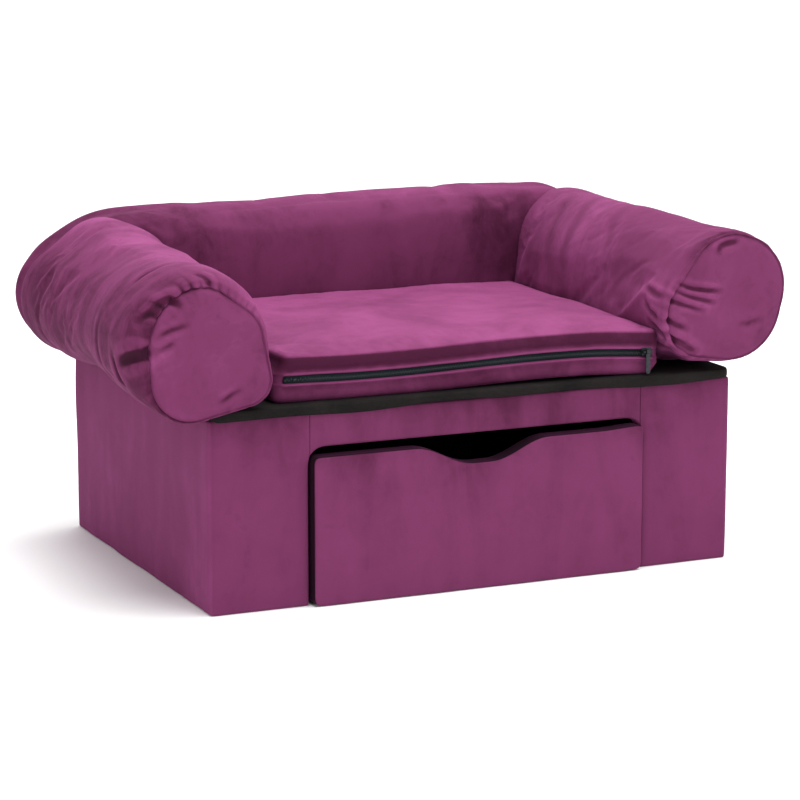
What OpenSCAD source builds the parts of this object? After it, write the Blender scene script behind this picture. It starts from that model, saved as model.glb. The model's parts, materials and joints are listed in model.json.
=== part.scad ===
// Sofa-shaped pet bed: an upholstered box with a pull-out drawer, a wrapped seat
// board, two rolled arms, a backrest and a loose zipped cushion.
// Millimetres, +Z up, front towards -Y, origin on the floor at the middle of the footprint.

/* [Base box] */
// Width of the upholstered box, outside the velvet
base_w = 605; // [480:5:760]
// Depth of the upholstered box, outside the velvet
base_d = 435; // [360:5:560]
// Height of the upholstered box
base_h = 203; // [165:1:260]
// Thickness of the box's boards
board_t = 12; // [9:1:18]
// Thickness of the velvet with its foam backing
cover_t = 3; // [2:0.5:5]
// Radius of the velvet at the box's upright corners
corner_r = 4; // [2:0.5:6]
// Height of the velvet's lower edge above the floor
hem_lift = 1; // [0.5:0.5:3]
// Side of the square corner posts
post_w = 30; // [20:1:40]
// Thickness of the rails under the seat board
rail_w = 20; // [16:1:30]
// Height of the rails under the seat board
rail_h = 25; // [18:1:40]
// Thickness of the bottom board
bottom_t = 5; // [3:1:9]
// Height of the bottom board above the floor
bottom_lift = 5; // [2:1:15]

/* [Drawer] */
// Width of the box's front at each side of the drawer opening
opening_side = 108; // [92:1:150]
// Height of the box's front above the drawer opening
opening_top = 36; // [25:1:60]
// Radius at the top corners of the opening
opening_r = 18; // [6:1:30]
// Gap at each side of the drawer front
front_gap = 3; // [2:0.5:8]
// Gap between the drawer front and the floor
floor_gap = 2; // [2:0.5:8]
// Gap between the drawer front's top edge and the top of the opening
front_top_gap = 7; // [3:0.5:20]
// How far the drawer front stands proud of the box
front_proud = 10; // [6:1:24]
// Thickness of the drawer front's board
front_board_t = 18; // [12:1:24]
// Radius of the drawer front's corners
front_r = 6; // [4:1:14]
// Width of the flat bottom of the grip notch
grip_flat = 20; // [10:1:80]
// Width of each slope of the grip notch
grip_ramp = 68; // [30:1:90]
// Depth of the grip notch
grip_depth = 21; // [12:1:35]
// Gap between the drawer box and the box's rear board, drawer shut
drawer_rear_gap = 24; // [5:1:120]
// How much narrower the drawer box is than its front, on each side
box_inset = 2; // [0:0.5:6]
// How far the drawer's sides stay below the top of the opening
side_drop = 31.6; // [20:0.2:60]
// Thickness of the drawer's sides and back
side_t = 10; // [6:1:15]
// Thickness of the drawer's floor
drawer_floor_t = 4; // [3:1:8]
// Thickness of the slide strips under the drawer
glide_t = 3; // [1:0.5:5]
// Width of the slide strips
glide_w = 12; // [8:1:20]
// Running clearance under the strips
slide_gap = 0.4; // [0.3:0.1:1]
// Running clearance between the drawer's sides and the guides
guide_gap = 2.5; // [1:0.5:5]
// Width of the guides
guide_w = 18; // [12:1:25]
// Height of the guides
guide_h = 40; // [20:1:60]

/* [Seat] */
// Thickness of the seat board
seat_t = 8; // [6:1:15]
// Thickness of the black cloth round the seat board
wrap_t = 1; // [0.6:0.2:2]
// Radius of the seat board's corners in plan
seat_r = 12; // [4:1:30]

/* [Arms] */
// How far the roll stands out past the side of the box
arm_overhang = 72.5; // [60:0.5:90]
// Width of seat that each arm covers
arm_seat_w = 83; // [75:0.5:95]
// Height of the roll's top above the seat
arm_h = 155; // [140:1:190]
// Radius under the roll, on the outside
belly_r = 62; // [50:1:66]
// Radius of the roll's foot, on the inside
foot_r = 48; // [35:1:52]
// Radius over the top of the roll
crown_r = 68; // [55:1:72]
// Sideways offset of the roll's top from the side of the box
crown_shift = -11.5; // [-20:0.5:5]
// How far the arms stand out in front of the box
arm_front = 18; // [12:1:40]
// Thickness of the round end cap
cap_t = 10; // [4:1:12]
// How much smaller the end cap is than the roll, all round
cap_inset = 12; // [4:1:20]
// Thickness of the velvet on the arms and the backrest
skin_t = 2; // [1.6:0.2:3]
// Height of the wooden battens inside the arms
batten_h = 14; // [10:1:20]
// Width of the battens
batten_w = 26; // [18:1:30]
// How far the battens reach in over the curve of the arm's foot
batten_toe = 3; // [0:0.5:3]
// How much shorter a batten is than its arm
batten_short = 70; // [40:1:120]

/* [Backrest] */
// Height of the backrest above the seat
back_h = 162; // [145:1:210]
// Thickness of the backrest
back_t = 75; // [60:1:95]
// How far the backrest stands out behind the box
back_rear = 7; // [0:1:20]
// Radius at the top corners of the backrest
back_r = 90; // [60:1:95]
// Distance from the side of the box in to the centre of the top corner
back_inset = 17.5; // [5:0.5:30]
// Thickness of the backrest's board
back_board_t = 12; // [9:1:18]

/* [Cushion] */
// Thickness of the cushion
cushion_h = 50; // [35:1:80]
// Gap between the cushion and each arm
cushion_gap = 2.5; // [2:0.5:15]
// Gap between the cushion and the backrest
cushion_rear_gap = 4; // [2:0.5:15]
// Distance from the front of the box back to the cushion
cushion_setback = 5; // [2:0.5:30]
// Radius of the cushion's upright corners
cushion_r = 8; // [4:1:40]
// Thickness of the cushion's velvet
cushion_skin_t = 2; // [1.6:0.2:3]
// Height of the zip above the middle of the cushion's side
zip_offset = 0; // [-8:1:8]
// Distance from the cushion's side to the end of the zip
zip_end_gap = 1.5; // [1:0.5:60]
// Height of one half of the zip tape
tape_h = 3.4; // [2:0.2:6]
// Height of the zip's coil
coil_h = 1.6; // [1.2:0.1:2.4]
// Thickness of the tape and the coil
tape_t = 1.2; // [0.8:0.1:1.6]

/* [Zip slider] */
// Length of the slider along the zip
slider_l = 11; // [8:0.5:14]
// Height of the slider
slider_h = 8; // [6:0.5:10]
// Thickness of the slider's body
slider_t = 3; // [2:0.2:4]
// Gap between the slider and the zip
slider_gap = 0.3; // [0.2:0.1:0.6]
// Radius of the slider's crown bar
crown_bar_r = 0.9; // [0.7:0.1:1.1]
// Distance of the crown bar in front of the slider's body
crown_bar_out = 3.2; // [2.8:0.1:4]
// Clearance of the pull on its bar, all round
pull_gap = 0.1; // [0.05:0.01:0.1]
// Outer radius of the pull's eye
pull_eye_r = 2.6; // [2.2:0.1:2.7]
// Gap between the hanging pull's tip and the seat
pull_seat_gap = 1.2; // [0.5:0.1:6]
// Width of the pull
pull_w = 5; // [4:0.5:7]
// Thickness of the pull
pull_t = 1.4; // [1:0.1:2]

/* [Screws] */
// Shank diameter
screw_d = 4; // [3:0.5:5]
// Head diameter
head_d = 8; // [6:0.5:10]
// Length of the screws in the box and the drawer
screw_l = 32; // [28:1:45]

/* [Hidden] */
$fn = 48;

velvet = "#8a3f6e";
black_cloth = "#2b2c28";
zip_black = "#1c2426";
bare_wood = "burlywood";
foam = "#efe6c8";
steel = "silver";
fill_white = "whitesmoke";
nylon = "#e8e4da";
zip_metal = "#4a5054";

arc_step = 6;        // degrees between the points of an outline's arcs
layer_gap = 0.2;     // air between a soft layer and what it lies on
hole_gap = 0.1;      // how much a drilled hole is wider than its screw, all round
cut = 1;             // how far a cutting solid runs past what it cuts

// Places that the pieces share
box_front = -(arm_front + base_d + back_rear) / 2 + arm_front;
box_rear = box_front + base_d;
half_w = base_w / 2;
inner_front = box_front + cover_t + board_t;
inner_rear = box_rear - cover_t - board_t;
inner_half_w = half_w - cover_t - board_t;
seat_top = base_h + seat_t + 2 * wrap_t;
rail_x = inner_half_w - rail_w / 2;
rail_rear_y = inner_rear - rail_w / 2;
bottom_top = bottom_lift + bottom_t;

back_rear_y = box_rear + back_rear;
back_front_y = back_rear_y - back_t;
back_board_y = rail_rear_y;
arm_start_y = box_front - arm_front + cap_t;
arm_end_y = back_front_y - layer_gap;

opening_w = base_w - 2 * opening_side;
opening_h = base_h - opening_top;
front_h = opening_h - floor_gap - front_top_gap;
box_w = opening_w - 2 * front_gap - 2 * box_inset;
front_w = opening_w - 2 * front_gap;
drawer_front_y = box_front - front_proud;
drawer_box_y = drawer_front_y + cover_t + front_board_t;
drawer_floor_z = bottom_top + slide_gap + glide_t;
side_z = drawer_floor_z + drawer_floor_t;
side_h = opening_h - side_drop - side_z;
drawer_len = inner_rear - drawer_rear_gap - drawer_box_y;
guide_x = box_w / 2 + guide_gap + guide_w / 2;
guide_screw_x = max(guide_x, opening_w / 2 + cover_t + head_d / 2 + 1);

cushion_front_y = box_front + cushion_setback;
cushion_w = base_w - 2 * arm_seat_w - 2 * cushion_gap;
cushion_d = back_front_y - cushion_rear_gap - cushion_front_y;
cushion_z = seat_top + layer_gap;
zip_z = cushion_z + cushion_h / 2 + zip_offset;
pull_l = zip_z - seat_top - pull_seat_gap;
zip_l = cushion_w - 2 * cushion_r - 2 * zip_end_gap;
slider_x = zip_l / 2 - slider_l / 2 - 2;
crown_bar_y = cushion_front_y - slider_gap - slider_t - crown_bar_out;

// Outlines -----------------------------------------------------------------

// Circles as [x, z, radius], listed anticlockwise: the roll of the right arm
arm_circles = [
    [half_w - arm_seat_w + foot_r, seat_top + foot_r, foot_r],
    [half_w + arm_overhang - belly_r, seat_top + belly_r, belly_r],
    [half_w + crown_shift, seat_top + arm_h - crown_r, crown_r]
];
// The backrest has the arms' bellies and its own two top corners
back_circles = [
    [-(half_w + arm_overhang - belly_r), seat_top + belly_r, belly_r],
    [half_w + arm_overhang - belly_r, seat_top + belly_r, belly_r],
    [half_w - back_inset, seat_top + back_h - back_r, back_r],
    [-(half_w - back_inset), seat_top + back_h - back_r, back_r]
];

// Direction of the outward normal of the band stretched from circle a to circle b
function band_angle(a, b) =
    atan2(b[1] - a[1], b[0] - a[0])
    - acos((a[2] - b[2]) / norm([b[0] - a[0], b[1] - a[1]]));

// A band stretched round the circles, moved outwards by grow
function band(circles, grow = 0) = [
    for (i = [0 : len(circles) - 1])
        let (
            n = len(circles),
            c = circles[i],
            start = band_angle(circles[(i + n - 1) % n], c),
            turn = (band_angle(c, circles[(i + 1) % n]) - start + 720) % 360,
            steps = max(1, ceil(turn / arc_step))
        )
        for (k = [0 : steps])
            let (a = start + turn * k / steps)
            [c[0] + (c[2] + grow) * cos(a), c[1] + (c[2] + grow) * sin(a)]
];

// Half of the grip notch, from its flat bottom (share 0) to the top edge (share 1)
function grip_point(share, inset) =
    let (
        drop = grip_depth * (1 + cos(180 * share)) / 2,
        slope = grip_depth * PI / 2 * sin(180 * share) / grip_ramp,
        n = [-slope, 1] / norm([-slope, 1])
    )
    [grip_flat / 2 + grip_ramp * share, floor_gap + front_h - drop] - inset * n;

grip_steps = 10;
grip_half = 1 / grip_steps;

function corner_arc(x, z, r, from) = [for (a = [0 : 15 : 90]) [x + r * cos(from + a), z + r * sin(from + a)]];

// The drawer front's outline, moved inwards by inset
function drawer_outline(inset = 0) =
    let (
        w = front_w / 2,
        low = floor_gap + front_r,
        high = floor_gap + front_h - front_r,
        r = front_r - inset
    )
    concat(
        corner_arc(-w + front_r, low, r, 180),
        corner_arc(w - front_r, low, r, 270),
        corner_arc(w - front_r, high, r, 0),
        [for (k = [grip_steps : -1 : 0]) grip_point(k * grip_half, inset)],
        [for (k = [0 : grip_steps]) let (p = grip_point(k * grip_half, inset)) [-p[0], p[1]]],
        corner_arc(-w + front_r, high, r, 90)
    );

module opening_shape(grow = 0) {
    w = opening_w + 2 * grow;
    h = opening_h + grow;
    r = opening_r + grow;
    translate([-w / 2, -cut]) square([w, h + cut - r]);
    translate([-w / 2 + r, -cut]) square([w - 2 * r, h + cut]);
    for (side = [-1, 1]) translate([side * (w / 2 - r), h - r]) circle(r);
}

module round_plan(w, d, r) {
    translate([-w / 2 + r, -d / 2]) square([w - 2 * r, d]);
    translate([-w / 2, -d / 2 + r]) square([w, d - 2 * r]);
    for (x = [-1, 1], y = [-1, 1]) translate([x * (w / 2 - r), y * (d / 2 - r)]) circle(r);
}

// Building helpers ----------------------------------------------------------

// A shape drawn in X and Z, from y0 to y1
module along_y(y0, y1) {
    translate([0, y1, 0]) rotate([90, 0, 0]) linear_extrude(y1 - y0) children();
}

module block(x0, x1, y0, y1, z0, z1) {
    translate([x0, y0, z0]) cube([x1 - x0, y1 - y0, z1 - z0]);
}

// A countersunk screw with its head at the origin, pointing along +Z
module screw(length, grow = 0) {
    cylinder(h = head_d / 2 - screw_d / 2, d1 = head_d + 2 * grow, d2 = screw_d + 2 * grow);
    cylinder(h = length + grow, d = screw_d + 2 * grow);
}

module point_to(direction) {
    turn = direction == "rear" ? [-90, 0, 0]
        : direction == "front" ? [90, 0, 0]
        : direction == "right" ? [0, 90, 0]
        : direction == "left" ? [0, -90, 0]
        : [0, 0, 0];
    rotate(turn) children();
}

// Screws --------------------------------------------------------------------

post_x = inner_half_w - post_w / 2;
post_screw_z = [35, base_h - 40];
post_screw_offset = 5;   // the two directions miss each other by this much, up and down

module base_screw_set(grow = 0) {
    for (side = [-1, 1]) {
        for (z = post_screw_z) {
            translate([side * post_x, box_front + cover_t, z + post_screw_offset])
                point_to("rear") screw(screw_l, grow);
            translate([side * post_x, box_rear - cover_t, z + post_screw_offset])
                point_to("front") screw(screw_l, grow);
            for (y = [inner_front + post_w / 2, inner_rear - post_w / 2])
                translate([side * (half_w - cover_t), y, z - post_screw_offset])
                    point_to(side > 0 ? "left" : "right") screw(screw_l, grow);
        }
        translate([side * guide_screw_x, box_front + cover_t, bottom_top + guide_h / 2])
            point_to("rear") screw(screw_l, grow);
        translate([side * guide_screw_x, box_rear - cover_t, bottom_top + guide_h / 2])
            point_to("front") screw(screw_l, grow);
    }
}

top_screw_l = rail_h + seat_t + 2 * wrap_t + skin_t + layer_gap + batten_h - 4;
arm_screw_y = [arm_start_y + batten_short / 2 + 45, arm_end_y - batten_short / 2 - 45];
back_screw_x = [-0.36, -0.12, 0.12, 0.36] * base_w;

module top_screw_set(grow = 0) {
    for (side = [-1, 1], y = arm_screw_y)
        translate([side * rail_x, y, base_h - rail_h]) screw(top_screw_l, grow);
    for (x = back_screw_x)
        translate([x, rail_rear_y, base_h - rail_h]) screw(top_screw_l, grow);
}

drawer_screw_z = [side_z + 20, side_z + side_h - 20];
box_side_x = box_w / 2 - side_t / 2;
drawer_box_rear = drawer_box_y + drawer_len;

module drawer_screw_set(grow = 0) {
    for (side = [-1, 1], z = drawer_screw_z) {
        translate([side * box_side_x, drawer_front_y + cover_t, z])
            point_to("rear") screw(screw_l + 6, grow);
        translate([side * box_side_x, drawer_box_rear, z])
            point_to("front") screw(screw_l, grow);
    }
}

// Base box ------------------------------------------------------------------

module front_board() {
    color(bare_wood) difference() {
        along_y(box_front + cover_t, inner_front) difference() {
            translate([-half_w + cover_t, 0]) square([base_w - 2 * cover_t, base_h]);
            opening_shape(cover_t);
        }
        base_screw_set(hole_gap);
    }
}

module side_board(side) {
    x0 = side > 0 ? inner_half_w : -half_w + cover_t;
    color(bare_wood) difference() {
        block(x0, x0 + board_t, inner_front, inner_rear, 0, base_h);
        base_screw_set(hole_gap);
    }
}

module rear_board() {
    color(bare_wood) difference() {
        block(-half_w + cover_t, half_w - cover_t, inner_rear, box_rear - cover_t, 0, base_h);
        base_screw_set(hole_gap);
    }
}

module bottom_board() {
    color(black_cloth) difference() {
        block(-inner_half_w, inner_half_w, inner_front, inner_rear, bottom_lift, bottom_top);
        for (x = [-1, 1], y = [-1, 1])
            translate([x * post_x, y > 0 ? inner_rear - post_w / 2 : inner_front + post_w / 2, 0])
                translate([-post_w / 2, -post_w / 2, 0]) cube([post_w, post_w, base_h]);
    }
}

module corner_post(x, y) {
    color(bare_wood) difference() {
        translate([x * post_x - post_w / 2, y > 0 ? inner_rear - post_w : inner_front, 0])
            cube([post_w, post_w, base_h]);
        base_screw_set(hole_gap);
    }
}

module side_rail(side) {
    color(bare_wood) difference() {
        block(side * rail_x - rail_w / 2, side * rail_x + rail_w / 2,
            inner_front + post_w, inner_rear - post_w, base_h - rail_h, base_h);
        top_screw_set(hole_gap);
    }
}

module rear_rail() {
    x = inner_half_w - post_w;
    color(bare_wood) difference() {
        block(-x, x, inner_rear - rail_w, inner_rear, base_h - rail_h, base_h);
        top_screw_set(hole_gap);
    }
}

module drawer_guide(side) {
    color(bare_wood) difference() {
        block(side * guide_x - guide_w / 2, side * guide_x + guide_w / 2,
            inner_front, inner_rear, bottom_top, bottom_top + guide_h);
        base_screw_set(hole_gap);
    }
}

// The velvet is one skin round the box, sewn from pieces that meet at seams
module base_skin() {
    difference() {
        translate([0, (box_front + box_rear) / 2, hem_lift])
            linear_extrude(base_h - hem_lift) round_plan(base_w, base_d, corner_r);
        block(-half_w + cover_t, half_w - cover_t, box_front + cover_t, box_rear - cover_t, -cut, base_h + cut);
        along_y(box_front - cut, box_front + cover_t + cut) opening_shape();
    }
    // Lining of the opening's edge
    intersection() {
        along_y(box_front + cover_t, inner_front) difference() {
            opening_shape(cover_t);
            opening_shape();
        }
        block(-half_w, half_w, box_front, box_rear, hem_lift, base_h);
    }
}

seam_x = opening_w / 2 - 2;   // upright seams above the opening's corners

module base_cover_side(side) {
    color(velvet) intersection() {
        base_skin();
        if (side > 0) block(seam_x, half_w + cut, box_front - cut, box_rear - cover_t, 0, base_h);
        else block(-half_w - cut, -seam_x, box_front - cut, box_rear - cover_t, 0, base_h);
    }
}

module base_cover_centre() {
    color(velvet) intersection() {
        base_skin();
        block(-seam_x, seam_x, box_front - cut, inner_front + cut, 0, base_h);
    }
}

module base_cover_rear() {
    color(velvet) intersection() {
        base_skin();
        block(-half_w - cut, half_w + cut, box_rear - cover_t, box_rear + cut, 0, base_h);
    }
}

// Seat ----------------------------------------------------------------------

module seat_slab(inset) {
    translate([0, (box_front + box_rear) / 2, base_h + inset])
        linear_extrude(seat_t + 2 * wrap_t - 2 * inset)
            round_plan(base_w - 2 * inset, base_d - 2 * inset, seat_r - inset);
}

module seat_board() {
    color(bare_wood) difference() {
        seat_slab(wrap_t);
        top_screw_set(hole_gap);
    }
}

module seat_wrap() {
    color(black_cloth) difference() {
        seat_slab(0);
        seat_slab(wrap_t);
        top_screw_set(hole_gap);
    }
}

// Backrest ------------------------------------------------------------------

module backrest_solid(y0, y1, inset) {
    along_y(y0, y1) polygon(band(back_circles, -inset));
}

back_core_inset = skin_t + layer_gap;

module backrest_board() {
    color(bare_wood) difference() {
        backrest_solid(back_board_y - back_board_t / 2, back_board_y + back_board_t / 2, back_core_inset);
        top_screw_set(hole_gap);
    }
}

module backrest_foam_front() {
    color(foam)
        backrest_solid(back_front_y + back_core_inset, back_board_y - back_board_t / 2, back_core_inset);
}

module backrest_foam_rear() {
    color(foam)
        backrest_solid(back_board_y + back_board_t / 2, back_rear_y - back_core_inset, back_core_inset);
}

module backrest_cover() {
    color(velvet) difference() {
        backrest_solid(back_front_y, back_rear_y, 0);
        backrest_solid(back_front_y + skin_t, back_rear_y - skin_t, skin_t);
        top_screw_set(hole_gap);
    }
}

// Arms ----------------------------------------------------------------------

batten_x = half_w - arm_seat_w + foot_r - batten_toe + batten_w / 2;
batten_z = seat_top + back_core_inset;
batten_y0 = arm_start_y + batten_short / 2;
batten_y1 = arm_end_y - batten_short / 2;

module mirrored(side) {
    mirror([side > 0 ? 0 : 1, 0, 0]) children();
}

module arm_solid(y0, y1, inset) {
    along_y(y0, y1) polygon(band(arm_circles, -inset));
}

module arm_batten(side) {
    color(bare_wood) difference() {
        block(side * batten_x - batten_w / 2, side * batten_x + batten_w / 2,
            batten_y0, batten_y1, batten_z, batten_z + batten_h);
        top_screw_set(hole_gap);
    }
}

module arm_fill(side) {
    color(fill_white) mirrored(side) difference() {
        arm_solid(arm_start_y + layer_gap, arm_end_y - layer_gap, back_core_inset);
        block(batten_x - batten_w / 2 - layer_gap, batten_x + batten_w / 2 + layer_gap,
            batten_y0 - layer_gap, batten_y1 + layer_gap, seat_top, batten_z + batten_h + layer_gap);
    }
}

module arm_cover(side) {
    color(velvet) difference() {
        mirrored(side) difference() {
            arm_solid(arm_start_y, arm_end_y, 0);
            arm_solid(arm_start_y - cut, arm_end_y + cut, skin_t);
        }
        top_screw_set(hole_gap);
    }
}

module arm_cap(side) {
    color(velvet) mirrored(side) arm_solid(arm_start_y - cap_t, arm_start_y, cap_inset);
}

// Cushion -------------------------------------------------------------------

module cushion_slab(z0, z1, inset) {
    translate([0, cushion_front_y + cushion_d / 2, cushion_z + z0]) linear_extrude(z1 - z0)
        round_plan(cushion_w - 2 * inset, cushion_d - 2 * inset, cushion_r - inset);
}

zip_slot_h = 2 * tape_h + coil_h;

module zip_strip(z0, z1, thickness) {
    block(-zip_l / 2, zip_l / 2, cushion_front_y, cushion_front_y + thickness, zip_z + z0, zip_z + z1);
}

module cushion_foam() {
    color(foam) cushion_slab(cushion_skin_t + layer_gap, cushion_h - cushion_skin_t - layer_gap,
        cushion_skin_t + layer_gap);
}

module cushion_cover_top() {
    color(velvet) cushion_slab(cushion_h - cushion_skin_t, cushion_h, 0);
}

module cushion_cover_bottom() {
    color(velvet) cushion_slab(0, cushion_skin_t, 0);
}

module cushion_gusset() {
    color(velvet) difference() {
        cushion_slab(cushion_skin_t, cushion_h - cushion_skin_t, 0);
        cushion_slab(0, cushion_h, cushion_skin_t);
        block(-zip_l / 2, zip_l / 2, cushion_front_y - cut, cushion_front_y + cushion_skin_t + cut,
            zip_z - zip_slot_h / 2, zip_z + zip_slot_h / 2);
    }
}

stop_l = 2;   // length of the metal stop at each end of the coil

module zip_tape(side) {
    color(zip_black) zip_strip(side > 0 ? coil_h / 2 : -zip_slot_h / 2, side > 0 ? zip_slot_h / 2 : -coil_h / 2,
        tape_t);
}

module zip_coil() {
    color(zip_black) block(-zip_l / 2 + stop_l, zip_l / 2 - stop_l, cushion_front_y, cushion_front_y + tape_t,
        zip_z - coil_h / 2, zip_z + coil_h / 2);
}

module zip_stops() {
    color(zip_metal) for (side = [-1, 1])
        translate([side * (zip_l / 2 - stop_l / 2), cushion_front_y + tape_t / 2, zip_z])
            cube([stop_l, tape_t, coil_h], center = true);
}

leg_t = 1.6;   // thickness of the crown's two legs

module zip_slider() {
    y1 = cushion_front_y - slider_gap;
    y0 = y1 - slider_t;
    color(zip_metal) translate([slider_x, 0, zip_z]) {
        block(-slider_l / 2, slider_l / 2, y0, y1, -slider_h / 2, slider_h / 2);
        for (side = [-1, 1])
            translate([side * (slider_l / 2 - leg_t / 2), 0, 0])
                block(-leg_t / 2, leg_t / 2, crown_bar_y - crown_bar_r, y0, -crown_bar_r, crown_bar_r);
        translate([-slider_l / 2, crown_bar_y, 0]) rotate([0, 90, 0]) cylinder(h = slider_l, r = crown_bar_r);
    }
}

module zip_pull() {
    color(zip_metal) translate([slider_x, crown_bar_y, zip_z]) difference() {
        union() {
            translate([-pull_w / 2, 0, 0]) rotate([0, 90, 0]) cylinder(h = pull_w, r = pull_eye_r);
            block(-pull_w / 2, pull_w / 2, -pull_t / 2, pull_t / 2, -pull_l + pull_w / 2, 0);
            translate([0, pull_t / 2, -pull_l + pull_w / 2]) rotate([90, 0, 0])
                cylinder(h = pull_t, d = pull_w);
        }
        translate([-pull_w, 0, 0]) rotate([0, 90, 0]) cylinder(h = 2 * pull_w, r = crown_bar_r + pull_gap);
    }
}

// Drawer --------------------------------------------------------------------

module drawer_front_board() {
    color(black_cloth) difference() {
        along_y(drawer_front_y + cover_t, drawer_box_y) polygon(drawer_outline(cover_t));
        drawer_screw_set(hole_gap);
    }
}

module drawer_front_cover() {
    color(velvet) difference() {
        along_y(drawer_front_y, drawer_box_y) polygon(drawer_outline());
        along_y(drawer_front_y + cover_t, drawer_box_y + cut) polygon(drawer_outline(cover_t));
    }
}

module drawer_side(side) {
    color(black_cloth) difference() {
        block(side * box_side_x - side_t / 2, side * box_side_x + side_t / 2,
            drawer_box_y, drawer_box_rear - side_t, side_z, side_z + side_h);
        drawer_screw_set(hole_gap);
    }
}

module drawer_back() {
    color(black_cloth) difference() {
        block(-box_w / 2, box_w / 2, drawer_box_rear - side_t, drawer_box_rear, side_z, side_z + side_h);
        drawer_screw_set(hole_gap);
    }
}

module drawer_bottom() {
    color(black_cloth)
        block(-box_w / 2, box_w / 2, drawer_box_y, drawer_box_rear, drawer_floor_z, drawer_floor_z + drawer_floor_t);
}

module drawer_glides() {
    color(nylon) for (side = [-1, 1])
        block(side * box_side_x - glide_w / 2, side * box_side_x + glide_w / 2,
            inner_front + slide_gap, drawer_box_rear, drawer_floor_z - glide_t, drawer_floor_z);
}

// Nodes ---------------------------------------------------------------------

front_board();
side_board(-1);  // side_board_left
side_board(1);  // side_board_right
rear_board();
bottom_board();
corner_post(-1, -1);  // corner_post_front_left
corner_post(1, -1);  // corner_post_front_right
corner_post(-1, 1);  // corner_post_rear_left
corner_post(1, 1);  // corner_post_rear_right
side_rail(-1);  // top_rail_left
side_rail(1);  // top_rail_right
rear_rail();  // top_rail_rear
drawer_guide(-1);  // drawer_guide_left
drawer_guide(1);  // drawer_guide_right
color(steel) base_screw_set();  // base_screws
base_cover_side(-1);  // base_cover_left
base_cover_side(1);  // base_cover_right
base_cover_centre();
base_cover_rear();
seat_board();
seat_wrap();
color(steel) top_screw_set();  // top_screws
backrest_board();
backrest_foam_front();
backrest_foam_rear();
backrest_cover();
arm_batten(-1);  // arm_batten_left
arm_batten(1);  // arm_batten_right
arm_fill(-1);  // arm_fill_left
arm_fill(1);  // arm_fill_right
arm_cover(-1);  // arm_cover_left
arm_cover(1);  // arm_cover_right
arm_cap(-1);  // arm_cap_left
arm_cap(1);  // arm_cap_right
cushion_foam();
cushion_cover_top();
cushion_cover_bottom();
cushion_gusset();
zip_tape(1);  // zip_tape_upper
zip_tape(-1);  // zip_tape_lower
zip_coil();
zip_stops();
zip_slider();
zip_pull();
drawer_front_board();
drawer_front_cover();
drawer_side(-1);  // drawer_side_left
drawer_side(1);  // drawer_side_right
drawer_back();
drawer_bottom();
drawer_glides();
color(steel) drawer_screw_set();  // drawer_screws
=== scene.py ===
import json
import math
import bmesh
import bpy
import numpy as np
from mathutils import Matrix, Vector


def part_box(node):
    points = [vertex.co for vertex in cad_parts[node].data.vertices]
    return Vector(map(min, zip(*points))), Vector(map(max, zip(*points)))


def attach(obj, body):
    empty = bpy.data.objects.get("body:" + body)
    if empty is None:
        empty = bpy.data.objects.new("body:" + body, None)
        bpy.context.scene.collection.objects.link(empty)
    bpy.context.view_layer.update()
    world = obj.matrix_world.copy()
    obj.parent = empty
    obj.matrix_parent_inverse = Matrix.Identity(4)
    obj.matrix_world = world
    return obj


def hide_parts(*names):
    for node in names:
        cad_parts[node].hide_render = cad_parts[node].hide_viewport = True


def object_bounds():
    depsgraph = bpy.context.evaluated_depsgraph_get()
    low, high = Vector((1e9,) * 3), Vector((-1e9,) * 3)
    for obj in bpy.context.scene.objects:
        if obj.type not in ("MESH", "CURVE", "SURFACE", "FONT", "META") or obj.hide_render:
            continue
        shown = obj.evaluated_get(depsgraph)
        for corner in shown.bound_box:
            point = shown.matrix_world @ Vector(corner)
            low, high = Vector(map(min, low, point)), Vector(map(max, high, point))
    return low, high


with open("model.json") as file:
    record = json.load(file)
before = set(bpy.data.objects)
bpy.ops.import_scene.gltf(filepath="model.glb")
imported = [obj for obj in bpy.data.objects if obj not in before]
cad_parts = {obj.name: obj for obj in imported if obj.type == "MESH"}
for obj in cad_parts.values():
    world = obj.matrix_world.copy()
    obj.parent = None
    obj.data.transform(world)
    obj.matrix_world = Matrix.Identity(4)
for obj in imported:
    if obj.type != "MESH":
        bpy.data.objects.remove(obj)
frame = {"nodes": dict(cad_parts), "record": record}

mm = 0.001
quarterTurn = np.pi / 2
scene = bpy.context.scene
cadBox = [[float(c) for c in corner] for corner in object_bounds()]
cadLow, cadHigh = np.array(cadBox[0]), np.array(cadBox[1])


# ---- camera and light

cameraView = {
    "azimuth": -24.23,       # degrees, 0 looks along +Y
    "elevation": 11.15,
    "distance": 3.236,
    "lens": 130.5,
    "aim": (0.0034, -0.0015, -0.0242),   # from the middle of the object's box
}


def lookFrom(view):
    # the camera sits on a ball round the aim point: right by the azimuth's sine, back by its cosine
    # and up by the elevation
    turn, lift = math.radians(view["azimuth"]), math.radians(view["elevation"])
    aim = (cadLow + cadHigh) / 2 + np.array(view["aim"])
    back = np.array([math.sin(turn) * math.cos(lift), -math.cos(turn) * math.cos(lift), math.sin(lift)])
    camera = bpy.data.objects.new("camera", bpy.data.cameras.new("camera"))
    camera.data.lens = view["lens"]
    camera.data.clip_end = 100
    camera.location = aim + back * view["distance"]
    camera.rotation_euler = (math.pi / 2 - lift, 0, turn)
    scene.collection.objects.link(camera)
    scene.camera = camera


lookFrom(cameraView)

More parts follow.
